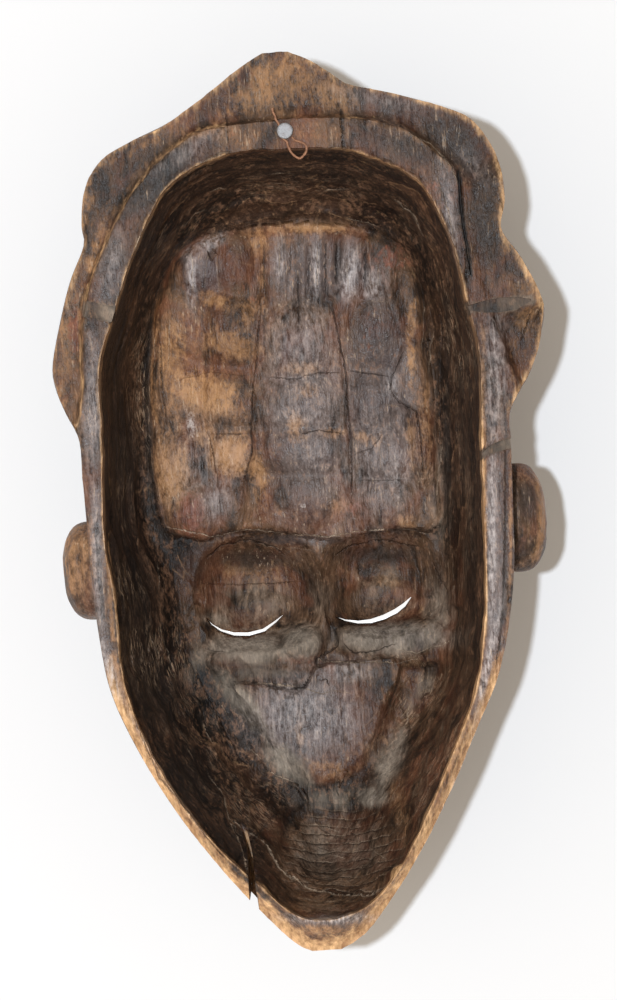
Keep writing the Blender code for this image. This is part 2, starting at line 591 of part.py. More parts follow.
def wire(name, where):
    """A stiff wire bent under the nail's head, with a loop at its end."""
    x, y = NAIL_AT
    aside = (NAIL_SHANK_RADIUS + GAP + WIRE_RADIUS) / ACROSS
    height = DEPTH - RECESS_DEPTH + GAP + WIRE_RADIUS
    path = [
        (x - 3.4, y + 7.9), (x - 2.8, y + 5.8), (x - 2.1, y + 3.8), (x - aside, y + 1.8), (x - aside, y),
        (x - 1.4, y - 2.0), (x + 0.2, y - 3.4), (x + 0.9, y - 4.8), (x + 0.8, y - 6.2), (x + 2.5, y - 8.3),
        (x + 4.4, y - 9.4), (x + 6.2, y - 7.8), (x + 6.7, y - 5.9), (x + 4.8, y - 4.0), (x + 2.7, y - 2.9),
    ]
    curve = bpy.data.curves.new(name, "CURVE")
    curve.dimensions = "3D"
    curve.bevel_depth = WIRE_RADIUS
    curve.bevel_resolution = 1
    curve.use_fill_caps = True
    line = through(path, steps=2)
    spline = curve.splines.new("POLY")
    spline.points.add(len(line) - 1)
    for point, (a, b) in zip(spline.points, line):
        point.co = (a * ACROSS, b * ALONG, height, 1.0)
    shaped = bpy.data.objects.new(name + "_line", curve)
    where.objects.link(shaped)
    bpy.context.view_layer.update()
    mesh = bpy.data.meshes.new_from_object(shaped.evaluated_get(bpy.context.evaluated_depsgraph_get()))
    bpy.data.objects.remove(shaped)
    bm = bmesh.new()
    bm.from_mesh(mesh)
    bmesh.ops.remove_doubles(bm, verts=bm.verts, dist=0.00001)
    return add(name, bm, where)


def centre(mask, pieces):
    """Puts the origin under the middle of the mask's box."""
    corners = np.array([v.co for v in mask.data.vertices])
    middle = (corners.min(axis=0) + corners.max(axis=0)) / 2
    for piece in pieces:
        piece.location -= Vector((middle[0], middle[1], 0.0))


def main():
    for obj in list(bpy.data.objects):
        bpy.data.objects.remove(obj)
    parts = collection("punu_mask")
    tools = collection("cutters")
    mask = carve_blank("mask_carving", parts)
    add_ears(mask, tools)
    cut_marks(mask, tools)
    for obj in tools.objects:
        obj.hide_render = True
        obj.display_type = "WIRE"
    pieces = [mask, nail("hanging_nail", parts), wire("hanging_wire", parts)]
    for obj, name in zip(pieces, MATERIALS):
        obj.data.materials.clear()
        obj.data.materials.append(material(name))
    centre(mask, pieces)


main()
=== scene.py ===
"""The looks of a carved wooden mask lying on its face, hollow side up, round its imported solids."""

import math
from types import SimpleNamespace

import bmesh
import bpy
import numpy as np
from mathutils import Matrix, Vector


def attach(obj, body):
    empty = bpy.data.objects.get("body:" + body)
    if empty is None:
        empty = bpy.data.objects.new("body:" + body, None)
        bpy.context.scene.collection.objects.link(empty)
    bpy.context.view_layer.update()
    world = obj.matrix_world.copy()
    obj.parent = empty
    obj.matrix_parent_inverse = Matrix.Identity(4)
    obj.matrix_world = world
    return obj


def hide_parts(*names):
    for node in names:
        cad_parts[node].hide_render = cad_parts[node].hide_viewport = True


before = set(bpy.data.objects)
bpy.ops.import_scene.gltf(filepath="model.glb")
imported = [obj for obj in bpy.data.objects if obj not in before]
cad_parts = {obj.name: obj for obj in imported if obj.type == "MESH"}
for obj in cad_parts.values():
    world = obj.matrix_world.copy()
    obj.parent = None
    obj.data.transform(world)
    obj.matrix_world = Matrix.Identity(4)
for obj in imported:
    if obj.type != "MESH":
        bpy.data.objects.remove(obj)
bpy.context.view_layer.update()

# Places on the mask are millimetres from the middle of its outline, before this shift.
MM = 0.001
SHIFT = (-1.9, 0.1)
DEPTH = 120.0
THINNEST_WALL = 5.0
RECESS_DEPTH = 1.2
NAIL_AT = (3.6, 124.2)

# The photograph: its size, its scale on the rim, how far above the rim it was taken, and its turn.
PICTURE = (617, 1000)
MM_PER_PIXEL = 0.3348
CAMERA_ABOVE_RIM = 1600.0
CAMERA_OVER = (2.88, 0.39)
TURN = math.radians(4.0)
SENSOR = 36.0
WORLD_STRENGTH = 0.62
WORLD_LEAN = (-0.35, -0.3, 0.15)
WORLD_COLOUR = (1.0, 0.885, 0.755, 1.0)
# The key light, in metres and watts.
KEY_AT = (-0.168, 0.032, 2.1)
KEY_AIM = (0.0, 0.0, 0.06)
KEY_SIZE = 0.045
KEY_WATTS = 34.5
KEY_COLOUR = (0.824, 0.904, 1.0)

# The net of the skin: counts across and down the middle, and rings round it.
NET_ACROSS = 112
NET_DOWN = 240
WALL_RING_COUNT = 48
FRONT_RING_COUNT = 22
NET_SETTLING = 1500
SIDE_RINGS = 14
EAR_NET = (30, 44)
NAIL_TURNS = 48
WIRE_TURNS = 14

RIGHT_EDGE = [
    (6.5, 151.2), (12.5, 148.6), (20.1, 143.4), (26.5, 138.9), (43.0, 134.1), (62.7, 126.7), (69.6, 120.1),
    (74.6, 109.7), (75.7, 97.0), (73.7, 86.9), (79.4, 77.4), (85.5, 63.5), (85.9, 55.1), (80.8, 39.3),
    (72.7, 25.8), (71.9, 14.1), (71.3, -4.4), (70.0, -27.8), (66.6, -47.8), (61.7, -64.3), (53.1, -82.1),
    (41.4, -104.9), (26.3, -129.0), (15.2, -143.4), (9.1, -148.7), (3.5, -151.4),
]
LEFT_EDGE = [
    (-2.8, 151.2), (-9.9, 147.2), (-24.0, 137.4), (-35.3, 130.2), (-48.4, 124.7), (-58.9, 119.0),
    (-65.0, 109.4), (-66.8, 97.7), (-66.5, 91.0), (-71.8, 79.6), (-76.1, 66.4), (-79.8, 51.6),
    (-79.3, 43.5), (-76.3, 34.5), (-72.5, 25.8), (-72.1, 12.4), (-71.8, -2.8), (-71.4, -21.3),
    (-70.2, -41.6), (-67.4, -60.3), (-59.5, -81.0), (-47.6, -103.0), (-35.3, -120.7), (-22.4, -137.4),
    (-12.0, -148.2), (-6.5, -151.4),
]
HOLLOW = [
    (3.3, 118.5), (21.6, 117.2), (34.7, 112.3), (46.9, 104.7), (52.9, 94.2), (57.6, 80.5), (60.5, 63.5),
    (63.5, 42.0), (62.2, 16.4), (61.0, -10.4), (59.8, -37.2), (55.3, -63.7), (48.0, -81.6), (34.3, -109.2),
    (24.1, -125.9), (14.0, -136.3), (0.3, -140.4), (-11.3, -137.9), (-21.7, -128.1), (-34.9, -114.4),
    (-48.6, -95.0), (-58.8, -72.5), (-63.4, -52.0), (-64.0, -30.0), (-66.3, -6.0), (-64.7, 25.2),
    (-64.1, 48.7), (-58.1, 66.7), (-48.0, 91.2), (-35.3, 109.8), (-15.2, 118.1),
]
BAND = [
    (22.4, 128.2), (42.2, 123.8), (54.0, 114.3), (60.8, 106.4), (61.0, 88.6), (66.0, 68.0), (73.0, 45.8),
    (78.0, 22.0), (80.0, -40.0), (60.0, -110.0), (0.0, -170.0), (-60.0, -110.0), (-80.0, -40.0),
    (-78.0, 15.0), (-71.1, 39.1), (-68.3, 69.1), (-60.2, 89.4), (-47.7, 109.6), (-31.6, 123.6),
    (-17.3, 128.0),
]
FOREHEAD_PANEL = [
    (0.0, 97.2), (31.0, 92.9), (44.2, 80.3), (47.7, 53.6), (48.5, 20.0), (50.0, -6.0), (44.0, -12.6),
    (36.0, -11.0), (29.0, -11.7), (20.0, -12.6), (11.9, -14.0), (3.0, -12.4), (-6.1, -9.9), (-17.0, -8.6),
    (-27.2, -8.4), (-34.0, -10.6), (-39.5, -9.3), (-48.1, -4.9), (-50.8, 21.8), (-51.0, 39.4),
    (-45.0, 74.2), (-30.7, 92.6),
]
MOUTH_PANEL = [
    (-28.7, -61.9), (-14.0, -63.4), (-5.0, -65.4), (-1.6, -62.2), (1.6, -57.4), (10.0, -56.8),
    (30.9, -57.7), (24.2, -78.3), (18.5, -90.5), (10.7, -96.6), (1.0, -98.9), (-8.8, -94.9), (-19.1, -80.5),
]
OUTLINE_CORNERS = [(66.0, 124.0), (18.0, -140.5), (-18.5, -141.5), (-57.0, 120.5)]
HOLLOW_CORNERS = [(45.0, 106.0), (17.0, -134.0), (-17.0, -132.5), (-41.0, 103.0)]
BUSY_ROWS = [(107.0, 14.0, 0.3), (-30.0, 30.0, 0.4), (-84.0, 12.0, 0.4)]
BACK_SPINE = (1.0, -92.0, 72.0)
FRONT_SPINE = (1.0, -100.0, 90.0)

SIDE_FLOOR = 75.0
FOREHEAD_FLOOR = 79.0
FOREHEAD_DISH = 3.0
MOUTH_FLOOR = 69.0
CHIN_FLOOR = 70.0
HAIR_BACK_STEP = 3.6
RIM_WAVE = 0.25

LIP_HEIGHT = 17.5
AXIS = [(-151.0, -1.5), (-90.0, -2.5), (-42.0, 0.0), (50.0, 2.5), (151.0, 2.0)]
PROFILE = [
    (-152.0, 30.0), (-147.0, 60.0), (-139.0, 80.0), (-128.0, 96.0), (-113.0, 104.0), (-98.0, 103.5),
    (-85.0, 106.5), (-70.0, 105.0), (-55.0, 101.0), (-42.0, 98.5), (-24.0, 100.0), (-10.0, 104.0),
    (12.0, 109.0), (38.0, 111.0), (62.0, 108.0), (95.0, 99.0), (118.0, 84.0), (135.0, 62.0), (152.0, 30.0),
]
HEAD_HALF_WIDTH = [
    (-153.0, 8.0), (-147.0, 16.0), (-138.0, 24.5), (-120.0, 38.0), (-100.0, 49.5), (-82.0, 58.0),
    (-62.0, 65.5), (-30.0, 71.5), (0.0, 73.0), (30.0, 72.0), (60.0, 68.0), (90.0, 59.0), (115.0, 45.0),
    (135.0, 27.0), (153.0, 10.0),
]
FACE_SQUARENESS = 4.0
FACE_ROUNDING = 2.2
FACE_EDGE = 9.0
HAIRLINE = [(0.0, 68.0), (26.0, 65.0), (46.0, 50.0), (58.0, 32.0), (66.0, 23.0), (90.0, 21.0)]
HAIR_EDGE = 38.0
HAIR_ROUND = 24.0
HAIR_TOP = [(20.0, 68.0), (50.0, 84.0), (88.0, 92.0), (108.0, 94.0), (128.0, 82.0), (152.0, 52.0)]
CREST_TOP = [
    (56.0, 108.0), (70.0, 116.0), (82.0, 123.5), (112.0, 123.5), (129.0, 111.0), (141.0, 92.0),
    (152.0, 60.0),
]
CREST_HALF_WIDTH = 37.0
FOREHEAD_SCALES = [
    (24.0, 0), (18.0, -1), (18.0, 1), (12.0, -2), (12.0, 0), (12.0, 2), (6.0, -1), (6.0, 1), (0.0, 0),
]
HAIR_STEP = 4.0
HAIRLINE_SLOPE = 2.4
VALLEYS = [((-68.0, 91.0), (-36.0, 66.0)), ((75.0, 88.0), (41.0, 66.0))]
VALLEY_DEPTH = 7.0
VALLEY_WIDTH = 6.5
EARS = [((-72.4, -18.4), (9.7, 16.8, 13.0), 30.0), ((73.6, -10.6), (9.7, 18.6, 13.0), 30.0)]

rng = np.random.default_rng(7)


def smooth(t):
    t = np.clip(t, 0.0, 1.0)
    return t * t * (3.0 - 2.0 * t)


def through(points, closed=False, steps=8):
    """A smooth curve through points, as an array of many points."""
    p = np.array(points, float)
    if closed:
        p = np.vstack([p[-1:], p, p[:2]])
    else:
        p = np.vstack([2 * p[:1] - p[1:2], p, 2 * p[-1:] - p[-2:-1]])
    t = np.arange(steps)[:, None] / steps
    pieces = []
    for a, b, c, d in zip(p[:-3], p[1:-2], p[2:-1], p[3:]):
        pieces.append(
            0.5 * (2 * b + (c - a) * t + (2 * a - 5 * b + 4 * c - d) * t**2 + (3 * b - a - 3 * c + d) * t**3)
        )
    if not closed:
        pieces.append(p[-2:-1])
    return np.vstack(pieces)


def bell(t):
    return np.exp(-(t**2))


def turned(a, b, angle):
    """Two coordinates seen from axes turned by an angle."""
    c, s = math.cos(angle), math.sin(angle)
    return a * c + b * s, b * c - a * s


def along(table, y):
    curve = through(sorted(table))
    return np.interp(y, curve[:, 0], curve[:, 1])


def distance_to(line, x, y):
    """Distance from each (x, y) to a line of straight pieces."""
    best = np.full(np.shape(x), 1e9)
    for (ax, ay), (bx, by) in zip(line[:-1], line[1:]):
        dx, dy = bx - ax, by - ay
        t = np.clip(((x - ax) * dx + (y - ay) * dy) / max(dx * dx + dy * dy, 1e-9), 0.0, 1.0)
        best = np.minimum(best, np.hypot(x - ax - t * dx, y - ay - t * dy))
    return best


def inset(points, x, y):
    """How far each (x, y) lies inside a closed smooth outline; negative outside."""
    ring = through(points, closed=True, steps=5)
    ring = np.vstack([ring, ring[:1]])
    inside = np.zeros(np.shape(x), bool)
    for (ax, ay), (bx, by) in zip(ring[:-1], ring[1:]):
        if ay != by:
            inside ^= ((ay > y) != (by > y)) & (x < (bx - ax) * (y - ay) / (by - ay) + ax)
    return np.where(inside, 1.0, -1.0) * distance_to(ring, x, y)


def outline():
    return np.vstack([through(RIGHT_EDGE), through(LEFT_EDGE)[::-1]])


def wall_widths(x, y):
    width = 13.5 + 8.0 * smooth((y - 78.0) / 25.0) + 17.0 * smooth((-62.0 - y) / 55.0)
    lower = smooth((5.0 - y) / 40.0) * smooth((y + 118.0) / 50.0)
    return width + lower * (2.0 + 8.0 * smooth((-x - 8.0) / 22.0))


def noise(x, y, size, seed):
    """Soft random waves about a size apart, from -1 to 1."""
    local = np.random.default_rng(seed)
    total = np.zeros(np.shape(x))
    for _ in range(9):
        angle = local.uniform(0, 2 * math.pi)
        wave = local.uniform(0.7, 1.5) * 2 * math.pi / size
        total += np.sin((x * math.cos(angle) + y * math.sin(angle)) * wave + local.uniform(0, 2 * math.pi))
    return total / 4.5


# The carved back, as depth below the rim.

# Hollows of the brow and the eyes inside, and the lumps left below them: middle, half sizes, depth or height.
HOLLOWS = [((-16.2, -31.0), (23.0, 20.5), 10.5), ((26.0, -30.0), (21.5, 19.5), 10.0)]
EYE_DIPS = [((-17.5, -39.5), (14.5, 7.5), 1.6), ((25.5, -37.0), (13.0, 7.5), 1.8)]
POUCHES = [
    ((-20.0, -53.5), (17.5, 9.0), 4.5), ((-3.4, -51.0), (9.5, 9.0), 5.5), ((19.5, -50.0), (11.0, 8.5), 5.0),
    ((37.5, -52.0), (13.5, 9.5), 4.5), ((-12.0, -60.5), (21.0, 7.0), 5.0),
]


def back_depth(x, y):
    gap = distance_to(outline(), x, y)
    jaw = smooth((-50.0 - y) / 30.0)
    chin = smooth((-122.0 - y) / 18.0)
    bevel_width = 3.2 + 6.5 * chin
    rim = jaw * (3.0 + 6.5 * chin) * smooth(1.0 - gap / bevel_width)
    right_flush = smooth((x - 40.0) / 15.0) * smooth((y - 52.0) / 12.0) * smooth((112.0 - y) / 10.0)
    rim = rim + HAIR_BACK_STEP * (1.0 - 0.85 * right_flush) * smooth(0.5 - inset(BAND, x, y) / 2.2)

    floor = SIDE_FLOOR + (CHIN_FLOOR - SIDE_FLOOR) * smooth((-70.0 - y) / 40.0)
    panel = inset(FOREHEAD_PANEL, x, y)
    ledge = smooth((-2.0 - y) / 6.0) * smooth((48.0 - np.abs(x)) / 6.0)
    dish = FOREHEAD_FLOOR + FOREHEAD_DISH * smooth(panel / 40.0)
    floor = floor + (dish - floor) * smooth(0.5 + panel / (7.0 - 5.6 * ledge))
    below_ledge = smooth(0.5 - panel / 1.4) * smooth((-6.0 - y) / 4.0)
    sunk = np.zeros(np.shape(x))
    for (px, py), (rx, ry), deep in HOLLOWS:
        reach = (np.abs((x - px) / rx) ** 2.6 + np.abs((y - py) / ry) ** 2.6) ** (1 / 2.6)
        sunk = np.maximum(sunk, deep * np.clip(1.0 - reach**2.4, 0.0, 1.0) ** 0.9)
    for (px, py), (rx, ry), deep in EYE_DIPS:
        reach = np.hypot((x - px) / rx, (y - py) / ry)
        sunk = sunk + deep * smooth((1.25 - reach) / 0.6)
    floor = floor + sunk * below_ledge
    lumps = np.zeros(np.shape(x))
    for (px, py), (rx, ry), height in POUCHES:
        lump = 1.0 - ((x - px) / rx) ** 2 - ((y - py) / ry) ** 2
        lumps = np.maximum(lumps, height * np.clip(lump, 0.0, 1.0) ** 0.6)
    below_eye = smooth((-43.0 - y + 0.35 * np.abs(np.abs(x - 4.0) - 20.0)) / 3.5)
    floor = floor - lumps * below_eye
    mouth = inset(MOUTH_PANEL, x, y)
    upper = smooth((y + 70.0) / 6.0)
    floor = floor + (MOUTH_FLOOR - floor) * smooth(0.5 + mouth / (7.0 - 5.5 * upper))

    rim = rim + RIM_WAVE * (1.0 + np.sin(0.11 * x + 0.8) * np.cos(0.073 * y - 0.4))
    t = np.clip(inset(HOLLOW, x, y) / wall_widths(x, y), 0.0, 1.0)
    drop = (1.0 - (1.0 - t) ** 2.1) ** 0.72
    return rim * (1.0 - smooth(3.0 * t)) + floor * drop


# The face, as distance in front of the rim.


def face_depth(x, y):
    u = x - along(AXIS, y)
    side = np.abs(u)
    share = np.clip(side / along(HEAD_HALF_WIDTH, y), 0.0, 1.0)
    dome = (1.0 - share**FACE_SQUARENESS) ** (1.0 / FACE_ROUNDING)
    face = along(PROFILE, y) * dome

    def bump(bx, by, rx, ry, height):
        return height * np.exp(-(((side - bx) / rx) ** 2) - ((y - by) / ry) ** 2)

    face = face + bump(22.5, -41.0, 23.0, 13.0, -9.0)
    lid = 1.0 - ((side - 22.4) / 17.0) ** 2 - ((y + 41.0) / 10.5) ** 2
    face = face + 7.5 * np.sqrt(np.clip(lid, 0.0, 1.0))
    brow = -22.0 + 9.0 * np.sin(np.pi * np.clip((side - 3.0) / 46.0, 0.0, 1.0))
    face = face + 4.0 * bell((y - brow) / 3.4) * smooth((50.0 - side) / 14.0)
    face = face + bump(40.0, -66.0, 17.0, 17.0, 5.0)

    down = np.clip((-20.0 - y) / 44.0, 0.0, 1.0)
    nose_width = 4.5 + 6.0 * down
    nose = (3.5 + 10.0 * down) * bell(side / nose_width) * smooth((y + 71.0) / 7.0)
    face = face + nose * smooth((-16.0 - y) / 8.0) + bump(9.5, -62.0, 4.5, 5.0, 5.0)

    lip_reach = np.clip(side / 21.0, 0.0, 1.0)
    upper = np.exp(-(np.abs((y + 78.5 + 1.0 * lip_reach) / 6.0) ** 2.4))
    lower = np.exp(-(np.abs((y + 90.0 - 2.0 * lip_reach) / 6.4) ** 2.4))
    face = face + LIP_HEIGHT * np.maximum(upper, lower) * np.sqrt(1.0 - lip_reach**2)
    return face + bump(0.0, -114.0, 15.0, 11.0, 6.0)


def front_depth(x, y):
    u = x - along(AXIS, y)
    side = np.abs(u)
    gap = distance_to(outline(), x, y)
    face = np.maximum(face_depth(x, y), FACE_EDGE)
    round_off = np.sqrt(1.0 - (1.0 - np.clip(gap / HAIR_ROUND, 0.0, 1.0)) ** 2)
    lobes = HAIR_EDGE + (along(HAIR_TOP, y) - HAIR_EDGE) * round_off
    for line in VALLEYS:
        lobes = lobes - VALLEY_DEPTH * bell(distance_to(line, x, y) / VALLEY_WIDTH)
    share = np.clip(side / CREST_HALF_WIDTH, 0.0, 1.0)
    crest = along(CREST_TOP, y) * (1.0 - share**3.2) ** 0.6
    hair = np.maximum(np.maximum(lobes, crest), face + HAIR_STEP)
    combed = 0.8 * np.cos(2 * np.pi * u / 5.2) * smooth((gap - 4.0) / 10.0)
    hair = hair - 0.8 + combed
    hairline = along(HAIRLINE, side)
    in_hair = smooth(0.5 + (y - hairline) / HAIRLINE_SLOPE)
    both = face + (hair - face) * in_hair
    for row, across in FOREHEAD_SCALES:
        scale = 1.0 - np.abs(u - across * 3.6) / 3.3 - np.abs(y - row) / 5.4
        both = both + 1.5 * smooth(scale * 2.2)
    return np.minimum(both, DEPTH)


# The skin.


def sampled(curve, corners):
    """Points of a ring of the net along a closed curve, from its upper right corner clockwise."""
    start = np.hypot(*(curve - corners[0]).T).argmin()
    curve = np.roll(curve, -start, axis=0)
    curve = np.vstack([curve, curve[:1]])
    stops = [0] + [int(np.hypot(*(curve - corner).T).argmin()) for corner in corners[1:]] + [len(curve) - 1]
    ring = []
    for first, last, count in zip(stops[:-1], stops[1:], [NET_DOWN, NET_ACROSS] * 2):
        side = curve[first:last + 1]
        steps = np.hypot(*np.diff(side, axis=0).T)
        middle = (side[1:, 1] + side[:-1, 1]) / 2
        if count == NET_DOWN:
            busy = sum(more * bell((middle - at) / wide) for at, wide, more in BUSY_ROWS)
            steps = steps * (1.0 + busy)
        travelled = np.concatenate([[0.0], np.cumsum(steps)])
        wanted = np.linspace(0.0, travelled[-1], count + 1)[:-1]
        ring.append(np.stack([np.interp(wanted, travelled, side[:, k]) for k in (0, 1)], axis=1))
    return np.vstack(ring)


def inward(ring, spine, distance=None, share=None):
    x, low, high = spine
    target = np.stack([np.full(len(ring), x), np.clip(ring[:, 1], low, high)], axis=1)
    way = target - ring
    if share is None:
        share = (distance / np.hypot(*way.T))[:, None]
    return ring + way * share


def band_places(outer, inner):
    """Where the edge of the raised band falls on the way from the outer edge to the hollow, 0 to 1."""
    shares = np.linspace(0.0, 1.0, 61)
    line = outer[:, None] + (inner - outer)[:, None] * shares[None, :, None]
    depth = inset(BAND, line[..., 0], line[..., 1])
    found = np.full(len(outer), 0.4)
    for k, row in enumerate(depth > 0):
        crossing = np.nonzero(row)[0]
        if len(crossing) and crossing[0] > 0:
            found[k] = shares[crossing[0]]
    for _ in range(6):
        found = (np.roll(found, 1) + 2 * found + np.roll(found, -1)) / 4
    return found


def middle_net(ring, down, across):
    """Fills a ring with a net of straight rows, as an array [down][across] of points."""
    ring = np.vstack([ring, ring[:1]])
    right = ring[:down + 1]
    bottom = ring[down:down + across + 1][::-1]
    left = ring[down + across:2 * down + across + 1][::-1]
    top = ring[2 * down + across:]
    v = np.linspace(0.0, 1.0, down + 1)[:, None, None]
    u = np.linspace(0.0, 1.0, across + 1)[None, :, None]
    sides = (1 - u) * left[:, None] + u * right[:, None]
    ends = (1 - v) * top[None] + v * bottom[None]
    corners = (1 - v) * ((1 - u) * top[0] + u * top[-1]) + v * ((1 - u) * bottom[0] + u * bottom[-1])
    net = sides + ends - corners
    for _ in range(NET_SETTLING):
        around = net[:-2, 1:-1] + net[2:, 1:-1] + net[1:-1, :-2] + net[1:-1, 2:]
        net[1:-1, 1:-1] = around / 4
    return net


def net_faces(rings, grid):
    """Faces between rings of vertex numbers, and inside the grid that the last ring goes round."""
    last = np.concatenate([grid[:-1, -1], grid[-1, :0:-1], grid[:0:-1, 0], grid[0, :-1]])
    faces = []
    rings = rings + [last]
    for outer, inner in zip(rings[:-1], rings[1:]):
        after = np.roll(outer, -1)
        if len(outer) == 2 * len(inner):
            a, b, c = outer[0::2], outer[1::2], np.roll(outer[0::2], -1)
            d, e = np.roll(inner, -1), inner
            faces += [tuple(f) for f in np.stack([a, b, e], axis=1).tolist()]
            faces += [tuple(f) for f in np.stack([b, c, d, e], axis=1).tolist()]
        else:
            faces += [tuple(f) for f in np.stack([outer, after, np.roll(inner, -1), inner], axis=1).tolist()]
    quads = np.stack([grid[:-1, :-1], grid[:-1, 1:], grid[1:, 1:], grid[1:, :-1]], axis=-1).reshape(-1, 4)
    return faces + [tuple(f) for f in quads.tolist()]


def spread(count, power=1.0):
    return np.linspace(0.0, 1.0, count + 1)[1:] ** power


def rim_rings(outer, hollow):
    """Rings from the outer edge to the hollow, close together at the edge of the raised band."""
    band = band_places(outer, hollow)[:, None]
    step = np.minimum(1.5 / np.hypot(*(hollow - outer).T)[:, None], 0.25 * band)
    shares = [share * (band - step) for share in np.linspace(0.0, 1.0, 6)[:-1]]
    shares += [band - step + share * 2 * step for share in np.linspace(0.0, 1.0, 5)[:-1]]
    ease = 1 - (1 - np.linspace(0.0, 1.0, 10)) ** 1.4
    shares += [band + step + (1 - band - step) * share for share in ease]
    return [outer + (hollow - outer) * share for share in shares]


def ring_numbers(count, rings, first=0):
    """The vertex numbers of rings of points."""
    return [np.arange(count) + k * count + first for k in range(rings)]


def grid_numbers(net, first):
    return np.arange(net.shape[0] * net.shape[1]).reshape(net.shape[:2]) + first


def back_skin(outer):
    """The rim and the hollow: points (x, y, depth), faces, and how many rings lie before the hollow."""
    hollow = sampled(through(HOLLOW, closed=True), np.array(HOLLOW_CORNERS))
    rings = rim_rings(outer, hollow)
    before = len(rings) - 1
    walls = wall_widths(hollow[:, 0], hollow[:, 1])
    rings += [inward(hollow, BACK_SPINE, distance=walls * share) for share in spread(WALL_RING_COUNT, 1.6)]
    net = middle_net(rings[-1], NET_DOWN, NET_ACROSS)
    count, around = len(outer), len(rings) - 1
    back = np.vstack(rings[:-1] + [net.reshape(-1, 2)])
    faces = net_faces(ring_numbers(count, around), grid_numbers(net, around * count))
    return np.column_stack([back, back_depth(back[:, 0], back[:, 1])]), faces, before


def front_skin(outer, back):
    """The sides and the front, half as dense as the back: points (x, y, depth) and faces."""
    half = outer[::2]
    rings = [inward(half, FRONT_SPINE, share=0.43 * share) for share in spread(FRONT_RING_COUNT, 1.9)]
    rings = [half] + rings
    net = middle_net(rings[-1], NET_DOWN // 2, NET_ACROSS // 2)
    front = np.vstack(rings[:-1] + [net.reshape(-1, 2)])
    least = back_depth(front[:, 0], front[:, 1]) + THINNEST_WALL
    depth = np.maximum(front_depth(front[:, 0], front[:, 1]), least)
    low, high = back[:len(outer):2, 2], depth[:len(half)]
    shares = np.linspace(0.0, 1.0, SIDE_RINGS + 1)[1:-1]
    sides = [np.column_stack([half, low + (high - low) * share]) for share in shares]
    around = len(sides) + len(rings) - 1
    numbers = ring_numbers(len(outer), 1) + ring_numbers(len(half), around, len(back))
    faces = net_faces(numbers, grid_numbers(net, len(back) + around * len(half)))
    return np.vstack(sides + [np.column_stack([front, depth])]), [face[::-1] for face in faces]


outer_edge = sampled(outline(), np.array(OUTLINE_CORNERS))
back_points, back_faces, RIM_RINGS = back_skin(outer_edge)
front_points, front_faces = front_skin(outer_edge, back_points)


def seen_at(points):
    """Where (x, y, depth) points fall in the photograph, in pixels."""
    across, up = turned(points[:, 0] - CAMERA_OVER[0], points[:, 1] - CAMERA_OVER[1], -TURN)
    scale = CAMERA_ABOVE_RIM / (CAMERA_ABOVE_RIM + points[:, 2]) / MM_PER_PIXEL
    return PICTURE[0] / 2 + across * scale, PICTURE[1] / 2 - up * scale


# Marks of the gouge, knife and wear, placed in pixels of the photograph.
FACETS = [
    (192, 262, 26, 34), (182, 322, 24, 34), (176, 392, 22, 36), (178, 462, 22, 34), (196, 512, 22, 24),
    (232, 262, 18, 30), (226, 330, 26, 32), (226, 402, 24, 30), (232, 455, 20, 26), (232, 508, 18, 26),
    (298, 345, 34, 34), (300, 404, 36, 26), (298, 452, 38, 24), (298, 502, 36, 28), (372, 332, 26, 36),
    (372, 402, 20, 30), (388, 455, 26, 26), (385, 505, 28, 26), (410, 300, 16, 40), (412, 380, 14, 32),
    (420, 445, 14, 40),
]
# Broad cuts in the relief: points, width in pixels, depth in millimetres.
GROOVES = [
    ([(261, 300), (257, 361), (254, 379), (252, 407), (251, 430), (252, 450), (245, 476),
     (241, 506)], 4.5, 0.8),
    ([(331, 300), (338, 338), (344, 361), (347, 395), (350, 430), (352, 464), (352, 500)], 4.0, 1.0),
    ([(405, 349), (392, 377), (389, 391), (400, 402), (416, 411), (421, 441), (423, 475)], 5.0, 0.7),
    ([(264, 240), (264, 304)], 4.0, 0.9), ([(291, 244), (290, 280)], 4.0, 0.8),
    ([(298, 270), (299, 328)], 4.0, 0.9), ([(310, 248), (308, 298)], 3.6, 0.9),
    ([(326, 240), (325, 302)], 3.8, 1.1), ([(339, 238), (336, 288)], 5.0, 1.8),
    ([(366, 242), (364, 294)], 4.2, 1.2), ([(330, 612), (334, 640), (320, 660)], 5.0, 1.3),
    ([(228, 650), (202, 648)], 4.0, 1.0), ([(290, 822), (286, 862)], 5.0, 0.8),
    ([(365, 846), (372, 874)], 5.0, 0.8), ([(476, 168), (488, 190)], 5.0, 0.9),
]
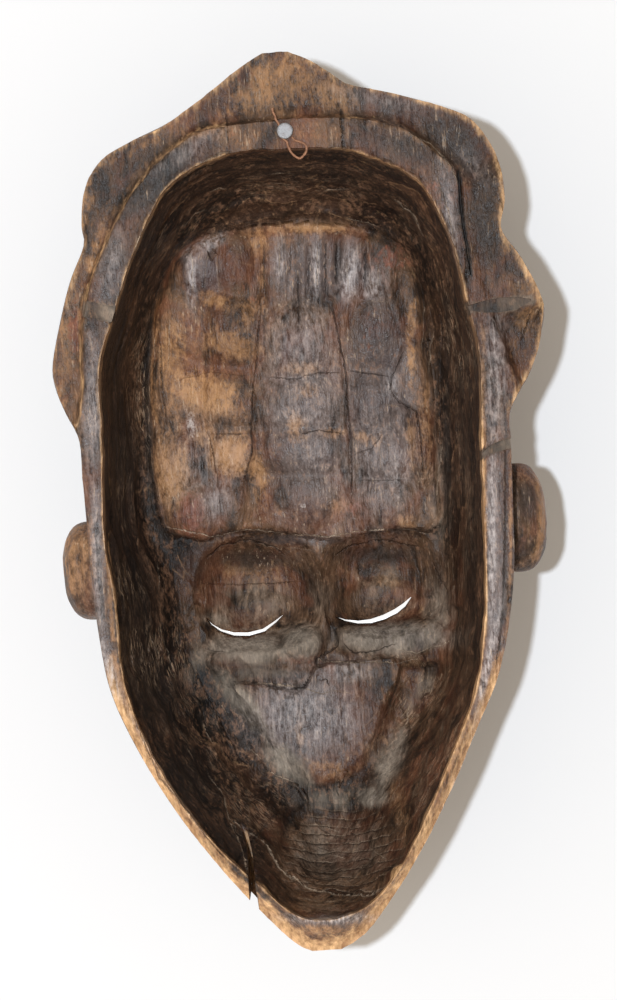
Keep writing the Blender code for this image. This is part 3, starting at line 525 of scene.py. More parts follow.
# Fine creases with painted shade and fine edges of wear, some painted as highlights, each list with its lines
# well apart: points and strength.
CREASE_SHADES_A = [
    ([(261, 300), (257, 361), (254, 379), (252, 407), (251, 430), (252, 450), (245, 476), (241, 506)], 0.9),
    ([(331, 300), (338, 338), (344, 361), (347, 395), (350, 430), (352, 464), (352, 500)], 1.0),
    ([(405, 349), (392, 377), (389, 391), (400, 402), (416, 411), (421, 441), (423, 475)], 0.8),
    ([(208, 430), (214, 452), (219, 487), (222, 514)], 0.6), ([(298, 270), (299, 328)], 0.9),
    ([(337, 240), (336, 288)], 1.0), ([(366, 242), (364, 294)], 0.8), ([(264, 240), (264, 296)], 0.8),
    ([(333, 612), (334, 628), (336, 646), (326, 656), (314, 664)], 1.0),
    ([(211, 765), (221, 786), (232, 814)], 1.0), ([(316, 873), (350, 876)], 0.4),
    ([(462, 176), (463, 200), (465, 240), (467, 286)], 1.0), ([(175, 700), (196, 720)], 0.6),
    ([(160, 330), (163, 390), (168, 430)], 0.6), ([(436, 300), (440, 360), (438, 420)], 0.7),
    ([(430, 560), (444, 590), (446, 622)], 0.6),
    ([(205, 560), (222, 546), (248, 541), (274, 548), (285, 556)], 0.8),
    ([(335, 556), (352, 546), (384, 541), (420, 548)], 0.7), ([(250, 720), (262, 752)], 0.4),
    ([(127, 699), (140, 732), (158, 777), (182, 804), (206, 837), (228, 862)], 0.9),
    ([(505, 440), (505, 520), (503, 610), (496, 670)], 0.8), ([(536, 300), (520, 344)], 0.7),
    ([(88, 214), (84, 244)], 0.5), ([(400, 700), (408, 726), (398, 756)], 0.6),
    ([(181, 640), (205, 690), (232, 740), (262, 780)], 0.5),
]
CREASE_SHADES_B = [
    ([(267, 377), (295, 379), (320, 372), (342, 373)], 0.6), ([(347, 370), (389, 377)], 0.7),
    ([(299, 434), (317, 430), (348, 434)], 0.7), ([(212, 434), (249, 434)], 0.5),
    ([(352, 455), (372, 448), (384, 432)], 0.6), ([(352, 480), (407, 480)], 0.5),
    ([(175, 381), (212, 372), (249, 377)], 0.3), ([(326, 240), (325, 300)], 0.9),
    ([(291, 246), (290, 276)], 0.7), ([(310, 250), (308, 296)], 0.7),
    ([(340, 641), (353, 654), (378, 651), (398, 643)], 0.9), ([(316, 843), (340, 853), (361, 854)], 0.4),
    ([(228, 651), (204, 648)], 0.8), ([(197, 583), (240, 585), (300, 582)], 0.5),
    ([(319, 680), (327, 679), (329, 687)], 0.9), ([(313, 822), (333, 836), (358, 840)], 0.5),
    ([(288, 524), (287, 540)], 0.9), ([(226, 114), (230, 150)], 0.9), ([(341, 108), (343, 150)], 1.0),
    ([(452, 610), (462, 650)], 0.6), ([(530, 330), (545, 300)], 0.6), ([(500, 190), (506, 230)], 0.6),
    ([(131, 500), (136, 560)], 0.6), ([(455, 420), (452, 500)], 0.6), ([(300, 690), (298, 722)], 0.5),
]
WORN_AND_HIGHLIGHTS_A = [
    ([(166, 527), (190, 531), (213, 536), (230, 532), (241, 528), (260, 529), (286, 533)], 1.0),
    ([(286, 533), (305, 534), (328, 537), (342, 534), (364, 530), (384, 528), (401, 530), (432, 533)], 1.0),
    ([(234, 816), (246, 826), (263, 840), (277, 856), (291, 873), (311, 887), (333, 894), (361, 894),
     (378, 887)], 1.0), ([(269, 176), (290, 176), (296, 182)], 0.8),
    ([(211, 196), (220, 191), (232, 192)], 0.7), ([(183, 229), (196, 216), (210, 211)], 0.8),
    ([(322, 194), (349, 193)], 0.6), ([(392, 202), (408, 216), (422, 240)], 0.9),
    ([(345, 221), (368, 226), (378, 230)], 0.6), ([(255, 682), (277, 684), (300, 687)], 1.0),
    ([(314, 668), (322, 660), (342, 661), (400, 663), (417, 660)], 0.9),
    ([(396, 649), (417, 654), (437, 646), (450, 635)], 1.0), ([(192, 252), (193, 300)], 0.9),
    ([(317, 242), (317, 290)], 0.7), ([(378, 256), (378, 300)], 0.6),
    ([(211, 765), (221, 786), (232, 814), (238, 831), (246, 851), (253, 873), (258, 893)], 0.9),
    ([(116, 620), (128, 640)], 0.5), ([(152, 630), (166, 662)], 0.7), ([(160, 560), (163, 590)], 0.6),
    ([(430, 330), (428, 380)], 0.6), ([(440, 440), (436, 500)], 0.6), ([(330, 690), (352, 694)], 0.6),
    ([(170, 320), (168, 372)], 0.7), ([(366, 846), (384, 858)], 0.5), ([(410, 700), (402, 730)], 0.6),
    ([(445, 700), (438, 730)], 0.5), ([(205, 720), (214, 744)], 0.6), ([(188, 745), (199, 762)], 0.5),
    ([(116, 305), (139, 238), (165, 198), (193, 168), (220, 153), (245, 149), (272, 151), (300, 150),
     (345, 148)], 1.0), ([(408, 133), (430, 143), (448, 160), (458, 182)], 1.0),
    ([(150, 760), (166, 783), (185, 807), (208, 836)], 0.9), ([(438, 180), (448, 210), (455, 244)], 0.8),
    ([(258, 545), (282, 550)], 0.3), ([(312, 822), (340, 832)], 0.5),
]
WORN_AND_HIGHLIGHTS_B = [
    ([(269, 187), (292, 188)], 0.7), ([(280, 244), (279, 274)], 0.8), ([(347, 262), (348, 294)], 0.9),
    ([(208, 250), (204, 290)], 0.5), ([(300, 687), (322, 694), (333, 691)], 1.0),
    ([(165, 636), (176, 668)], 0.7), ([(365, 163), (384, 171)], 0.6), ([(250, 340), (249, 396)], 0.4),
    ([(138, 652), (150, 690)], 0.6), ([(420, 300), (422, 352)], 0.6), ([(346, 300), (392, 302)], 0.4),
    ([(266, 770), (296, 784)], 0.9), ([(154, 330), (156, 380)], 0.6), ([(182, 770), (196, 786)], 0.4),
    ([(206, 584), (206, 614)], 0.5), ([(316, 848), (348, 858)], 0.5), ([(398, 780), (390, 800)], 0.5),
    ([(384, 404), (404, 408)], 0.6), ([(424, 620), (440, 600)], 0.5), ([(284, 548), (320, 552)], 0.3),
    ([(118, 560), (124, 600)], 0.5), ([(238, 436), (250, 470)], 0.4), ([(352, 436), (356, 476)], 0.4),
    ([(450, 560), (452, 606)], 0.5), ([(352, 864), (372, 862)], 0.5), ([(218, 700), (232, 722)], 0.6),
    ([(246, 744), (262, 760)], 0.7),
]
TERRACE = [
    (234, 816), (246, 826), (263, 840), (277, 856), (291, 873), (311, 887), (333, 894), (361, 894),
    (378, 887), (384, 879), (401, 872), (412, 868),
]
FADE = 3.0
# The gouge's cuts: the places tried for each group, and how far apart they lie, in their own sizes squared.
MOST_CUTS = 1600
CUT_SPACING = 1.5


def scoops(points, seeds):
    """Relief of overlapping cuts (place, direction, half length, half width, depth), and a shade for each."""
    best = np.full(len(points), 9.0)
    deep = np.zeros(len(points))
    shade = np.zeros(len(points))
    for place, way, long, wide, depth in seeds:
        near = np.nonzero(np.abs(points - place).max(axis=1) < 3.0 * long)[0]
        away = points[near] - place
        run = away @ way
        reach = (run / long) ** 2 + ((away**2).sum(axis=1) - run**2) / wide**2
        closer = reach < best[near]
        chosen = near[closer]
        best[chosen] = reach[closer]
        deep[chosen] = depth
        shade[chosen] = rng.uniform(-1.0, 1.0)
    return -deep * (1.0 - np.minimum(best, 1.6) / 1.6), shade


def scatter(points, ways, where, long, wide, depth):
    """Gouge cuts spread evenly over part of the surface."""
    chosen = np.nonzero(where)[0]
    if not len(chosen):
        return []
    seeds = []
    for k in rng.choice(chosen, min(MOST_CUTS, len(chosen)), replace=False):
        place, way = points[k], ways[k] / max(np.linalg.norm(ways[k]), 1e-9)
        if seeds:
            away = np.array([seed[0] for seed in seeds]) - place
            run = away @ way
            reach = (run / long) ** 2 + ((away**2).sum(axis=1) - run**2) / wide**2
            if reach.min() < CUT_SPACING:
                continue
        size = rng.uniform(0.8, 1.25)
        seeds.append((place, way, long * size, wide * rng.uniform(0.8, 1.25), depth * rng.uniform(0.6, 1.3)))
    return seeds


def line_field(lines, u, v):
    """Signed distance in millimetres to the nearest line, and how strongly the line is there."""
    best = np.full(np.shape(u), 1e9)
    side = np.full(np.shape(u), FADE)
    here = np.zeros(np.shape(u))
    for points, strength in lines:
        steps = [math.dist(a, b) for a, b in zip(points[:-1], points[1:])]
        total, gone = sum(steps), 0.0
        taper = min(12.0, total / 3)
        for (ax, ay), (bx, by), step in zip(points[:-1], points[1:], steps):
            dx, dy = bx - ax, by - ay
            t = np.clip(((u - ax) * dx + (v - ay) * dy) / (dx * dx + dy * dy), 0.0, 1.0)
            away = np.hypot(u - ax - t * dx, v - ay - t * dy)
            sign = np.where(dx * (v - ay) - dy * (u - ax) >= 0.0, 1.0, -1.0)
            run = gone + t * step
            ends = np.minimum(run, total - run) / taper
            closer = away < best
            best = np.where(closer, away, best)
            side = np.where(closer, np.clip(sign * away * 0.35, -FADE, FADE), side)
            strong = strength * smooth(ends + 0.15) * smooth(1.6 - away * 0.35 / FADE * 1.6)
            here = np.where(closer, strong, here)
            gone += step
    return side, here


def ring_count(points):
    """How many points of the back lie on each ring, and how many on all rings."""
    return 2 * (NET_ACROSS + NET_DOWN), len(points) - (NET_DOWN + 1) * (NET_ACROSS + 1)


def ring_ways(points):
    """Directions round the wall and down it, at the points of the back's rings."""
    count, rings = ring_count(points)
    ringed = points[:rings].reshape(-1, count, 3)
    around = np.roll(ringed, -1, axis=1) - np.roll(ringed, 1, axis=1)
    down = np.gradient(ringed, axis=0)
    return around.reshape(-1, 3), down.reshape(-1, 3), rings


def surface(points):
    """Where points of the back lie: in the photograph, and against the drawn outlines."""
    s = SimpleNamespace()
    s.u, s.v = seen_at(points)
    s.x, s.y = points.T[:2]
    s.inside = inset(HOLLOW, s.x, s.y)
    s.band = inset(BAND, s.x, s.y)
    s.panel = smooth(inset(FOREHEAD_PANEL, s.x, s.y) / 3.0 + 0.5)
    s.mouth = inset(MOUTH_PANEL, s.x, s.y)
    return s


def cut_ways(points, s):
    """Directions for the gouge at each point, and which points lie on the wall, the rim and the floor."""
    round_wall, down_wall, rings = ring_ways(points)
    s.flat = np.arange(len(points)) >= rings
    s.on_wall = (s.inside > 0.5) & ~s.flat
    s.on_rim = s.inside <= 0.0
    s.ways = np.tile(np.array([0.0, -1.0, 0.0]), (len(points), 1))
    s.tangent, s.down = s.ways.copy(), s.ways.copy()
    s.tangent[:rings] = round_wall
    s.down[:rings] = down_wall
    lengths = [np.linalg.norm(way, axis=1)[:, None] for way in (s.down, s.tangent)]
    s.diagonal = s.down / lengths[0] + 0.5 * s.tangent / lengths[1]
    s.around_chin = np.column_stack([s.v - 745.0, s.u - 333.0, 0 * s.u])


def facet_cuts(points, s):
    """The flat cuts of the forehead field."""
    seeds = []
    for cu, cv, ru, rv in FACETS:
        nearest = np.hypot(s.u - cu, s.v - cv).argmin()
        seeds.append((points[nearest], np.array([0.0, 1.0, 0.0]), rv * 0.36, ru * 0.36, 2.7))
    return scoops(points, seeds)


def hollow_cuts(points, s):
    """The gouge's cuts on the walls and the floor of the hollow."""
    v = s.v
    mouth = smooth(s.mouth / 2.0 + 0.5)
    eyes = (np.abs(v - 602) < 66) & (s.u > 195) & (s.u < 455)
    sides = s.flat & (s.panel < 0.5) & (mouth < 0.5) & (v <= 790) & ~eyes
    places = [
        (s.tangent, s.on_wall & (v < 300), 14.0, 6.0, 1.6),
        (s.tangent, s.on_wall & (v >= 300) & (v < 600), 18.0, 6.0, 1.6),
        (s.diagonal, s.on_wall & (v >= 600), 12.0, 7.0, 2.0),
        (s.around_chin, s.flat & (v > 790), 12.0, 5.5, 0.7),
        (s.ways, s.flat & (mouth > 0.5), 16.0, 4.5, 0.6),
        (s.ways, sides, 10.0, 6.0, 1.2),
        (s.ways, s.flat & eyes & (s.panel < 0.5), 9.0, 9.0, 0.6),
    ]
    return scoops(points, [seed for place in places for seed in scatter(points, *place)])


def rim_cuts(points, s):
    """The plane's and the knife's cuts on the rim."""
    seeds = scatter(points, s.tangent, s.on_rim & (s.band > 0.5), 18.0, 5.0, 0.3)
    seeds += scatter(points, s.down, s.on_rim & (s.band <= 0.5), 9.0, 6.0, 0.5)
    return scoops(points, seeds)


def carve_marks(points):
    """How far each point of the back is raised along its normal, in millimetres, and a shade for its cut."""
    s = surface(points)
    cut_ways(points, s)
    u, v, panel, inside = s.u, s.v, s.panel, s.inside
    facets, facet_shades = facet_cuts(points, s)
    gouged, gouge_shades = hollow_cuts(points, s)
    planed, planed_shades = rim_cuts(points, s)
    gouged = gouged * (1.0 - panel) * smooth(inside / 1.5)
    hair = smooth((430.0 - v) / 30.0)
    on_band = 0.85 * smooth(s.band / 1.5) * smooth((260.0 - v) / 40.0)
    hair = hair * (0.40 + 0.95 * np.maximum(smooth((u - 200.0) / 60.0), on_band))
    shades = np.where(inside > 0.0, gouge_shades, 0.5 * planed_shades - hair)
    shades = np.where(panel > 0.5, 0.8 * facet_shades + 1.35 - 1.30 * smooth((u - 335.0) / 30.0), shades)

    marks = facets * panel + gouged + planed * smooth(-inside / 1.0)
    for line, width, deep in GROOVES:
        marks = marks - deep * bell(distance_to(line, u, v) / width)
    terrace, there = line_field([(TERRACE, 1.0)], u, v)
    shelf = np.where(there > 0.02, smooth(0.5 - terrace / 3.0), 0.0)
    marks = marks + 1.3 * shelf * there * (inside > 0)
    marks = marks + 0.3 * bell(inside / 1.6) * noise(s.x, s.y, 9.0, 3)
    return marks + 0.1 * noise(s.x, s.y, 4.5, 4), shades


# The count round the hollow starts inside the split, where no seam shows.
FLOW_START = (-29.0, -118.5)


def gouge_flow(points):
    """Where each point lies along and across the cuts of the gouge, in millimetres."""
    x, y = points.T[:2]
    count, rings = ring_count(points)
    flow = np.column_stack([y, x])
    ringed = points[:rings].reshape(-1, count, 3)
    edge = RIM_RINGS
    steps = np.linalg.norm(np.roll(ringed[edge], -1, axis=0) - ringed[edge], axis=1)
    travelled = np.concatenate([[0.0], np.cumsum(steps)])
    first = np.hypot(*(ringed[edge, :, :2] - FLOW_START).T).argmin()
    around = (travelled[:-1] - travelled[first]) % travelled[-1]
    down = np.cumsum(np.linalg.norm(np.diff(ringed[edge:], axis=0), axis=2), axis=0)
    for k in range(edge, ringed.shape[0]):
        deep = down[k - edge - 1] if k > edge else np.zeros(count)
        flow[k * count:(k + 1) * count, 0] = around
        flow[k * count:(k + 1) * count, 1] = deep
    core = points[rings:, :2]
    last = ringed[-1][:, :2]
    for start in range(0, len(core), 4000):
        some = core[start:start + 4000]
        away = np.hypot(some[:, None, 0] - last[None, :, 0], some[:, None, 1] - last[None, :, 1])
        nearest = away.argmin(axis=1)
        numbers = rings + start + np.arange(len(some))
        flow[numbers, 0] = around[nearest]
        flow[numbers, 1] = down[-1][nearest] + away.min(axis=1)
    plain = (inset(FOREHEAD_PANEL, x, y) > 0.0) | (inset(MOUTH_PANEL, x, y) > 0.0)
    flow[plain] = np.column_stack([1.8 * y, 0.6 * x])[plain]
    return flow


# Colours, as patches placed in pixels of the photograph: (u, v, half width, half height, turn, strength).

AMBER = [
    (236, 345, 30, 14, 10, 1.0), (210, 392, 34, 18, 15, 1.0), (173, 362, 13, 34, 0, 0.9),
    (248, 312, 11, 12, 0, 0.8), (216, 300, 15, 8, 20, 0.9), (172, 465, 16, 36, 0, 0.95),
    (232, 456, 22, 20, 0, 1.0), (205, 440, 14, 14, 0, 0.6), (258, 474, 9, 24, -10, 0.9),
    (301, 368, 20, 8, 0, 0.7), (308, 391, 10, 7, 0, 0.6), (296, 426, 9, 15, -15, 0.6),
    (334, 432, 13, 6, 0, 0.7), (363, 439, 12, 7, 20, 0.7), (410, 325, 4, 24, 0, 0.75),
    (413, 358, 3, 16, 0, 0.7), (411, 438, 5, 18, 0, 0.6), (315, 226, 52, 7, 0, 0.7),
    (257, 240, 10, 16, 0, 0.6), (262, 290, 4, 40, 0, 0.4), (340, 506, 14, 8, 0, 0.5),
    (280, 80, 44, 26, 0, 0.95), (330, 92, 26, 16, 20, 0.8), (245, 100, 22, 14, -30, 0.6),
    (67, 350, 7, 50, 8, 0.5), (88, 190, 5, 30, 10, 0.7), (140, 148, 50, 4, -28, 0.5),
    (335, 130, 7, 18, 0, 0.7), (300, 122, 10, 14, 0, 0.5), (226, 134, 6, 14, 0, 0.5),
    (530, 300, 10, 50, 20, 0.8), (500, 200, 6, 40, 10, 0.6), (430, 330, 5, 60, -4, 0.5),
    (425, 430, 6, 50, 0, 0.4), (407, 522, 14, 7, 0, 0.5), (138, 400, 9, 54, 4, 0.75),
    (150, 600, 8, 40, 0, 0.3), (330, 902, 50, 7, 0, 0.6), (320, 770, 34, 10, 0, 0.45),
    (300, 730, 5, 26, 0, 0.5), (340, 700, 4, 18, 0, 0.5), (107, 492, 4, 9, 0, 0.8),
    (151, 684, 4, 7, 0, 1.0), (528, 478, 10, 8, 0, 0.4), (78, 560, 14, 34, 0, 0.8),
    (255, 575, 30, 12, 0, 0.35), (390, 582, 16, 10, 0, 0.5), (232, 570, 12, 10, 0, 0.5),
    (395, 800, 10, 50, -20, 0.5), (290, 905, 40, 8, 0, 0.5), (345, 878, 46, 12, 0, 0.35),
]
RED = [
    (191, 516, 12, 22, 0, 0.9), (388, 256, 22, 20, 0, 0.7), (352, 508, 18, 10, 0, 0.6),
    (243, 75, 8, 12, 0, 0.9), (75, 330, 7, 30, 0, 0.9), (225, 585, 12, 8, 0, 0.3),
    (262, 556, 16, 8, 0, 0.5), (395, 560, 20, 12, 0, 0.3), (455, 420, 14, 120, 0, 0.5),
    (420, 220, 30, 60, 30, 0.4), (255, 805, 14, 18, 20, 0.6), (200, 760, 30, 30, 30, 0.4),
    (430, 760, 24, 50, -25, 0.5), (340, 905, 40, 7, 0, 0.5), (300, 660, 30, 5, 0, 0.6),
    (250, 290, 12, 30, 0, 0.4), (530, 520, 12, 30, 0, 0.4), (372, 330, 14, 24, 0, 0.4),
    (300, 200, 60, 14, 0, 0.4), (395, 700, 12, 26, 20, 0.4),
]
SLATE = [
    (303, 430, 46, 118, 0, 0.75), (380, 400, 36, 115, 0, 0.95), (210, 272, 22, 24, -20, 0.9),
    (218, 500, 18, 26, 0, 0.6), (308, 457, 36, 24, 0, 1.0), (322, 270, 60, 34, 0, 0.9),
    (305, 715, 60, 36, 0, 0.85), (330, 660, 60, 8, 0, 0.5), (305, 720, 62, 52, 0, 0.9),
    (110, 280, 18, 60, 8, 0.7), (93, 400, 12, 90, 0, 0.9), (98, 540, 8, 80, 0, 0.9),
    (106, 640, 8, 40, -10, 0.8), (160, 170, 34, 26, -40, 0.2), (448, 200, 14, 50, -10, 0.7),
    (493, 560, 14, 130, 0, 0.95), (385, 112, 60, 20, 15, 0.5), (470, 165, 30, 16, 45, 0.6),
    (295, 540, 50, 6, 0, 0.9), (390, 360, 20, 30, 0, 0.6), (330, 925, 60, 8, 0, 0.8),
    (505, 700, 8, 50, 20, 0.5),
]
DUST = [
    (250, 648, 44, 19, 0, 1.0), (262, 672, 44, 8, 0, 0.5), (300, 640, 28, 20, 0, 0.8),
    (390, 638, 62, 18, 0, 0.95), (320, 600, 20, 26, 0, 0.4), (245, 705, 12, 50, -38, 0.9),
    (290, 765, 14, 34, -50, 0.9), (388, 765, 12, 40, 25, 0.8), (372, 795, 18, 12, 0, 0.9),
    (420, 690, 8, 30, 20, 0.5), (250, 600, 48, 30, 0, 0.42), (385, 592, 44, 30, 0, 0.34),
    (340, 850, 52, 48, 0, 0.42), (330, 902, 44, 8, 0, 0.4), (203, 655, 14, 26, 20, 0.5),
    (437, 610, 18, 40, 0, 0.5), (330, 800, 40, 14, 0, 0.5), (215, 620, 20, 10, 0, 0.5),
    (440, 500, 14, 60, 0, 0.3),
]
# Light-coloured patches: partly light-coloured wood, partly painted highlights on edges and streaks.
PALE_AND_HIGHLIGHTS = [
    (191, 424, 7, 16, -18, 0.6), (193, 279, 3, 16, 0, 0.6), (304, 505, 5, 3, 0, 0.7),
    (399, 494, 6, 14, 0, 0.35), (391, 390, 5, 9, 0, 0.4), (251, 335, 5, 4, 0, 0.4),
    (249, 391, 4, 7, 0, 0.4), (355, 519, 6, 2, 20, 0.6), (368, 296, 16, 5, 10, 0.35),
    (317, 265, 4, 20, 0, 0.4), (348, 275, 6, 22, 10, 0.45), (278, 262, 5, 20, 0, 0.25),
    (110, 690, 4, 12, -20, 0.8), (116, 262, 5, 26, 8, 0.4), (95, 414, 4, 20, 0, 0.3),
    (448, 225, 3, 30, -6, 0.5), (372, 795, 8, 4, 0, 0.5), (325, 677, 8, 6, 0, 0.4),
    (495, 600, 3, 70, 0, 0.35), (484, 735, 4, 34, 25, 0.8), (464, 778, 4, 30, 28, 0.8),
    (330, 917, 36, 3, 0, 0.4), (145, 655, 22, 14, -35, 0.25),
]


# Dark patches: partly darker wood on the hair and the band, partly painted shade below the brow ledge, along
# the left wall, below the lumps and beside the ears.
DARK = [
    (158, 176, 60, 26, -42, 1.0), (125, 205, 20, 40, 30, 0.7), (115, 175, 26, 50, 30, 0.45),
    (250, 130, 24, 18, 0, 0.7), (320, 130, 20, 18, 0, 0.4), (395, 105, 60, 12, 14, 0.6),
    (455, 140, 44, 26, 45, 0.85), (385, 138, 40, 18, 12, 0.5), (488, 215, 22, 62, 0, 0.8),
    (514, 320, 16, 60, 10, 0.6), (410, 150, 50, 16, 25, 0.6), (108, 290, 9, 54, 4, 0.6),
    (278, 56, 26, 4, 0, 0.9), (208, 110, 26, 10, -35, 0.5), (245, 75, 6, 14, 0, 0.8),
    (72, 250, 8, 40, 0, 0.4), (66, 370, 10, 30, 0, 0.35), (528, 500, 12, 24, 0, 0.8),
    (530, 545, 10, 14, 0, 0.6), (85, 580, 10, 20, 0, 0.3), (238, 262, 20, 34, 10, 0.5),
    (366, 330, 26, 26, 0, 0.35), (255, 560, 44, 12, 0, 0.75), (385, 556, 46, 10, 0, 0.75),
    (310, 585, 14, 26, 0, 0.5), (262, 672, 36, 6, 4, 0.4), (318, 668, 5, 8, 0, 0.5),
    (195, 565, 16, 26, 0, 0.6), (440, 560, 14, 34, 0, 0.5), (428, 640, 10, 14, 0, 0.3),
    (335, 860, 40, 26, 0, 0.25), (350, 905, 50, 6, 0, 0.3), (480, 440, 30, 8, 0, 0.4),
    (320, 250, 6, 14, 0, 0.4), (338, 262, 5, 26, 0, 0.8), (300, 300, 8, 30, 0, 0.4),
    (300, 480, 40, 14, 0, 0.35), (366, 270, 4, 26, 0, 0.6), (118, 340, 12, 60, 4, 1.0),
    (122, 480, 20, 110, 0, 0.95), (134, 600, 26, 70, -8, 0.95), (160, 690, 28, 50, -25, 0.85),
    (192, 775, 26, 40, -35, 0.75), (238, 840, 22, 34, -45, 0.6), (150, 240, 22, 44, 32, 0.6),
    (462, 420, 9, 90, 0, 0.6), (466, 560, 9, 70, 0, 0.6), (300, 176, 80, 8, 0, 0.5),
    (112, 262, 10, 50, 8, 0.35), (455, 690, 10, 46, 22, 0.4), (380, 128, 26, 9, 10, 0.45),
    (505, 560, 4, 120, 0, 0.6),
]
# Painted reflections: silvery painted highlights on the rims, the forehead field, the mouth field and the
# lumps below the eyes.
PAINTED_SHEEN = [
    (114, 262, 7, 30, 10, 0.30), (93, 410, 6, 50, 0, 0.38), (97, 560, 4, 70, -3, 0.5),
    (108, 665, 5, 34, -20, 0.9), (492, 540, 4, 90, 0, 0.9), (495, 372, 10, 60, 0, 0.72),
    (489, 660, 4, 60, 12, 0.9), (350, 275, 10, 26, 5, 0.9), (316, 268, 5, 28, 0, 0.7),
    (372, 284, 12, 16, 0, 0.7), (192, 278, 5, 26, 0, 0.8), (212, 244, 16, 5, -25, 0.6),
    (280, 262, 5, 22, 0, 0.5), (305, 715, 50, 34, 0, 0.65), (300, 350, 34, 50, 0, 0.35),
    (330, 918, 44, 5, 0, 0.9), (450, 215, 5, 40, -8, 0.6), (475, 165, 18, 8, 50, 0.3),
    (398, 470, 12, 26, 0, 0.45), (300, 415, 34, 12, 0, 0.4), (318, 455, 24, 20, 0, 0.3),
    (392, 385, 8, 14, 0, 0.5), (215, 500, 14, 22, 0, 0.4), (205, 470, 40, 50, 0, 0.22),
    (372, 470, 50, 60, 0, 0.25), (312, 390, 34, 60, 0, 0.25), (470, 765, 6, 40, 28, 0.7),
    (160, 765, 3, 60, -32, 0.6), (383, 100, 50, 6, 12, 0.4), (395, 636, 44, 12, 0, 0.22),
    (346, 672, 26, 10, 0, 0.6), (190, 150, 40, 8, -30, 0.3),
]


# Short strokes of the knife on the walls.
HATCH = [
    (150, 655, 34, 32, 0, 1.0), (150, 385, 12, 60, 0, 0.9), (130, 590, 18, 26, 0, 0.8),
    (126, 500, 10, 50, 0, 0.4), (455, 340, 22, 60, 0, 0.7), (462, 500, 16, 80, 0, 0.35),
    (290, 190, 60, 16, 0, 0.35), (412, 225, 10, 26, -35, 0.5), (420, 690, 22, 50, 20, 0.5),
    (440, 760, 20, 50, 25, 0.6), (190, 720, 26, 30, 40, 0.3), (180, 240, 24, 40, 35, 0.3),
    (255, 800, 30, 30, 30, 0.4), (420, 800, 24, 40, 30, 0.5), (205, 765, 26, 26, 0, 0.25),
]
# Soft lines of golden brown: points, half width in pixels, strength.
GLOWS = [
    ([(90, 268), (102, 228), (124, 190), (150, 163), (182, 141), (215, 127)], 4.5, 0.75),
    ([(107, 330), (104, 400), (105, 470), (108, 560), (113, 640)], 2.2, 0.9),
    ([(483, 330), (484, 420), (485, 520), (484, 600), (480, 660), (466, 721), (452, 762),
     (438, 790)], 2.6, 0.9), ([(510, 330), (515, 400), (510, 470), (511, 560), (506, 640)], 2.0, 0.6),
    ([(505, 120), (508, 200), (512, 250)], 3.0, 0.5), ([(498, 230), (514, 270), (528, 330)], 3.0, 0.5),
    ([(412, 300), (408, 340), (411, 385)], 1.8, 0.7), ([(408, 420), (412, 470)], 2.0, 0.5),
    ([(160, 300), (152, 360), (156, 420)], 3.0, 0.6),
    ([(537, 478), (542, 500), (542, 530), (536, 558)], 4.5, 1.0),
    ([(128, 178), (150, 150), (196, 122)], 2.0, 0.3),
    ([(113, 655), (128, 705), (160, 782), (208, 842), (250, 892)], 5.0, 0.8),
    ([(498, 660), (478, 735), (452, 795), (420, 852), (385, 905), (345, 932), (300, 930)], 6.0, 0.7),
    ([(62, 330), (66, 290), (80, 250)], 3.0, 0.4), ([(90, 540), (74, 560), (72, 590)], 4.0, 0.5),
    ([(365, 118), (402, 130), (430, 146), (450, 166)], 3.0, 0.5),
]
# Soft dark lines, in the same way: mostly painted shade in crevices, along edges, below the lumps and beside
# the ears, partly dark grooves.
SHADES = [
    ([(152, 320), (148, 380), (150, 440), (154, 520), (163, 532)], 3.5, 0.9),
    ([(97, 524), (99, 570), (103, 618)], 2.5, 0.9), ([(514, 466), (515, 520), (513, 568)], 2.0, 0.9),
    ([(226, 116), (228, 150)], 1.6, 0.8), ([(342, 112), (344, 152)], 1.8, 0.9),
    ([(442, 300), (446, 380), (444, 460), (448, 530)], 4.0, 0.7),
    ([(240, 664), (276, 670), (312, 674)], 3.0, 0.5),
    ([(112, 330), (109, 420), (111, 500), (118, 600)], 3.5, 0.5),
    ([(470, 330), (472, 440), (474, 560)], 6.0, 0.5),
    ([(505, 395), (507, 470), (506, 560), (500, 650)], 1.8, 0.8),
]
ARC_MIDDLE = (338, 738)
ARC_SPACING = 2.7
# The cells of the gouge's fine cuts, in millimetres.
CUT_LENGTH = 24.0
CUT_WIDTH = 7.5


def patches(u, v, table):
    total = np.zeros(len(u))
    for cu, cv, ru, rv, turn, strength in table:
        a, b = turned(u - cu, v - cv, math.radians(turn))
        reach = (a / ru) ** 2 + (b / rv) ** 2
        total = np.maximum(total, strength * np.exp(-(reach**1.3) * 0.9))
    return total


def soot_and_shade_mask(s, within, mouth, eyes):
    """Soot in the hollow, thin on the plain fields and round the chin, with painted shade: heavier on the
    left wall, lighter at the lower right.
    """
    left = smooth((-s.x - 20.0) / 25.0)
    lower_right = smooth((-45.0 - s.y) / 25.0) * smooth((s.x - 8.0) / 25.0)
    soot_and_shade = within * (1.0 - s.panel) * (1.0 - mouth) * (1.0 - 0.75 * eyes)
    # Painted shade: the left wall darker, the lower right lighter.
    soot_and_shade = soot_and_shade * (0.74 + 0.26 * left - 0.48 * lower_right)
    return soot_and_shade * (1.0 - 0.62 * smooth((s.v - 790) / 50.0) * smooth(1.3 - np.abs(s.u - 335) / 80.0))


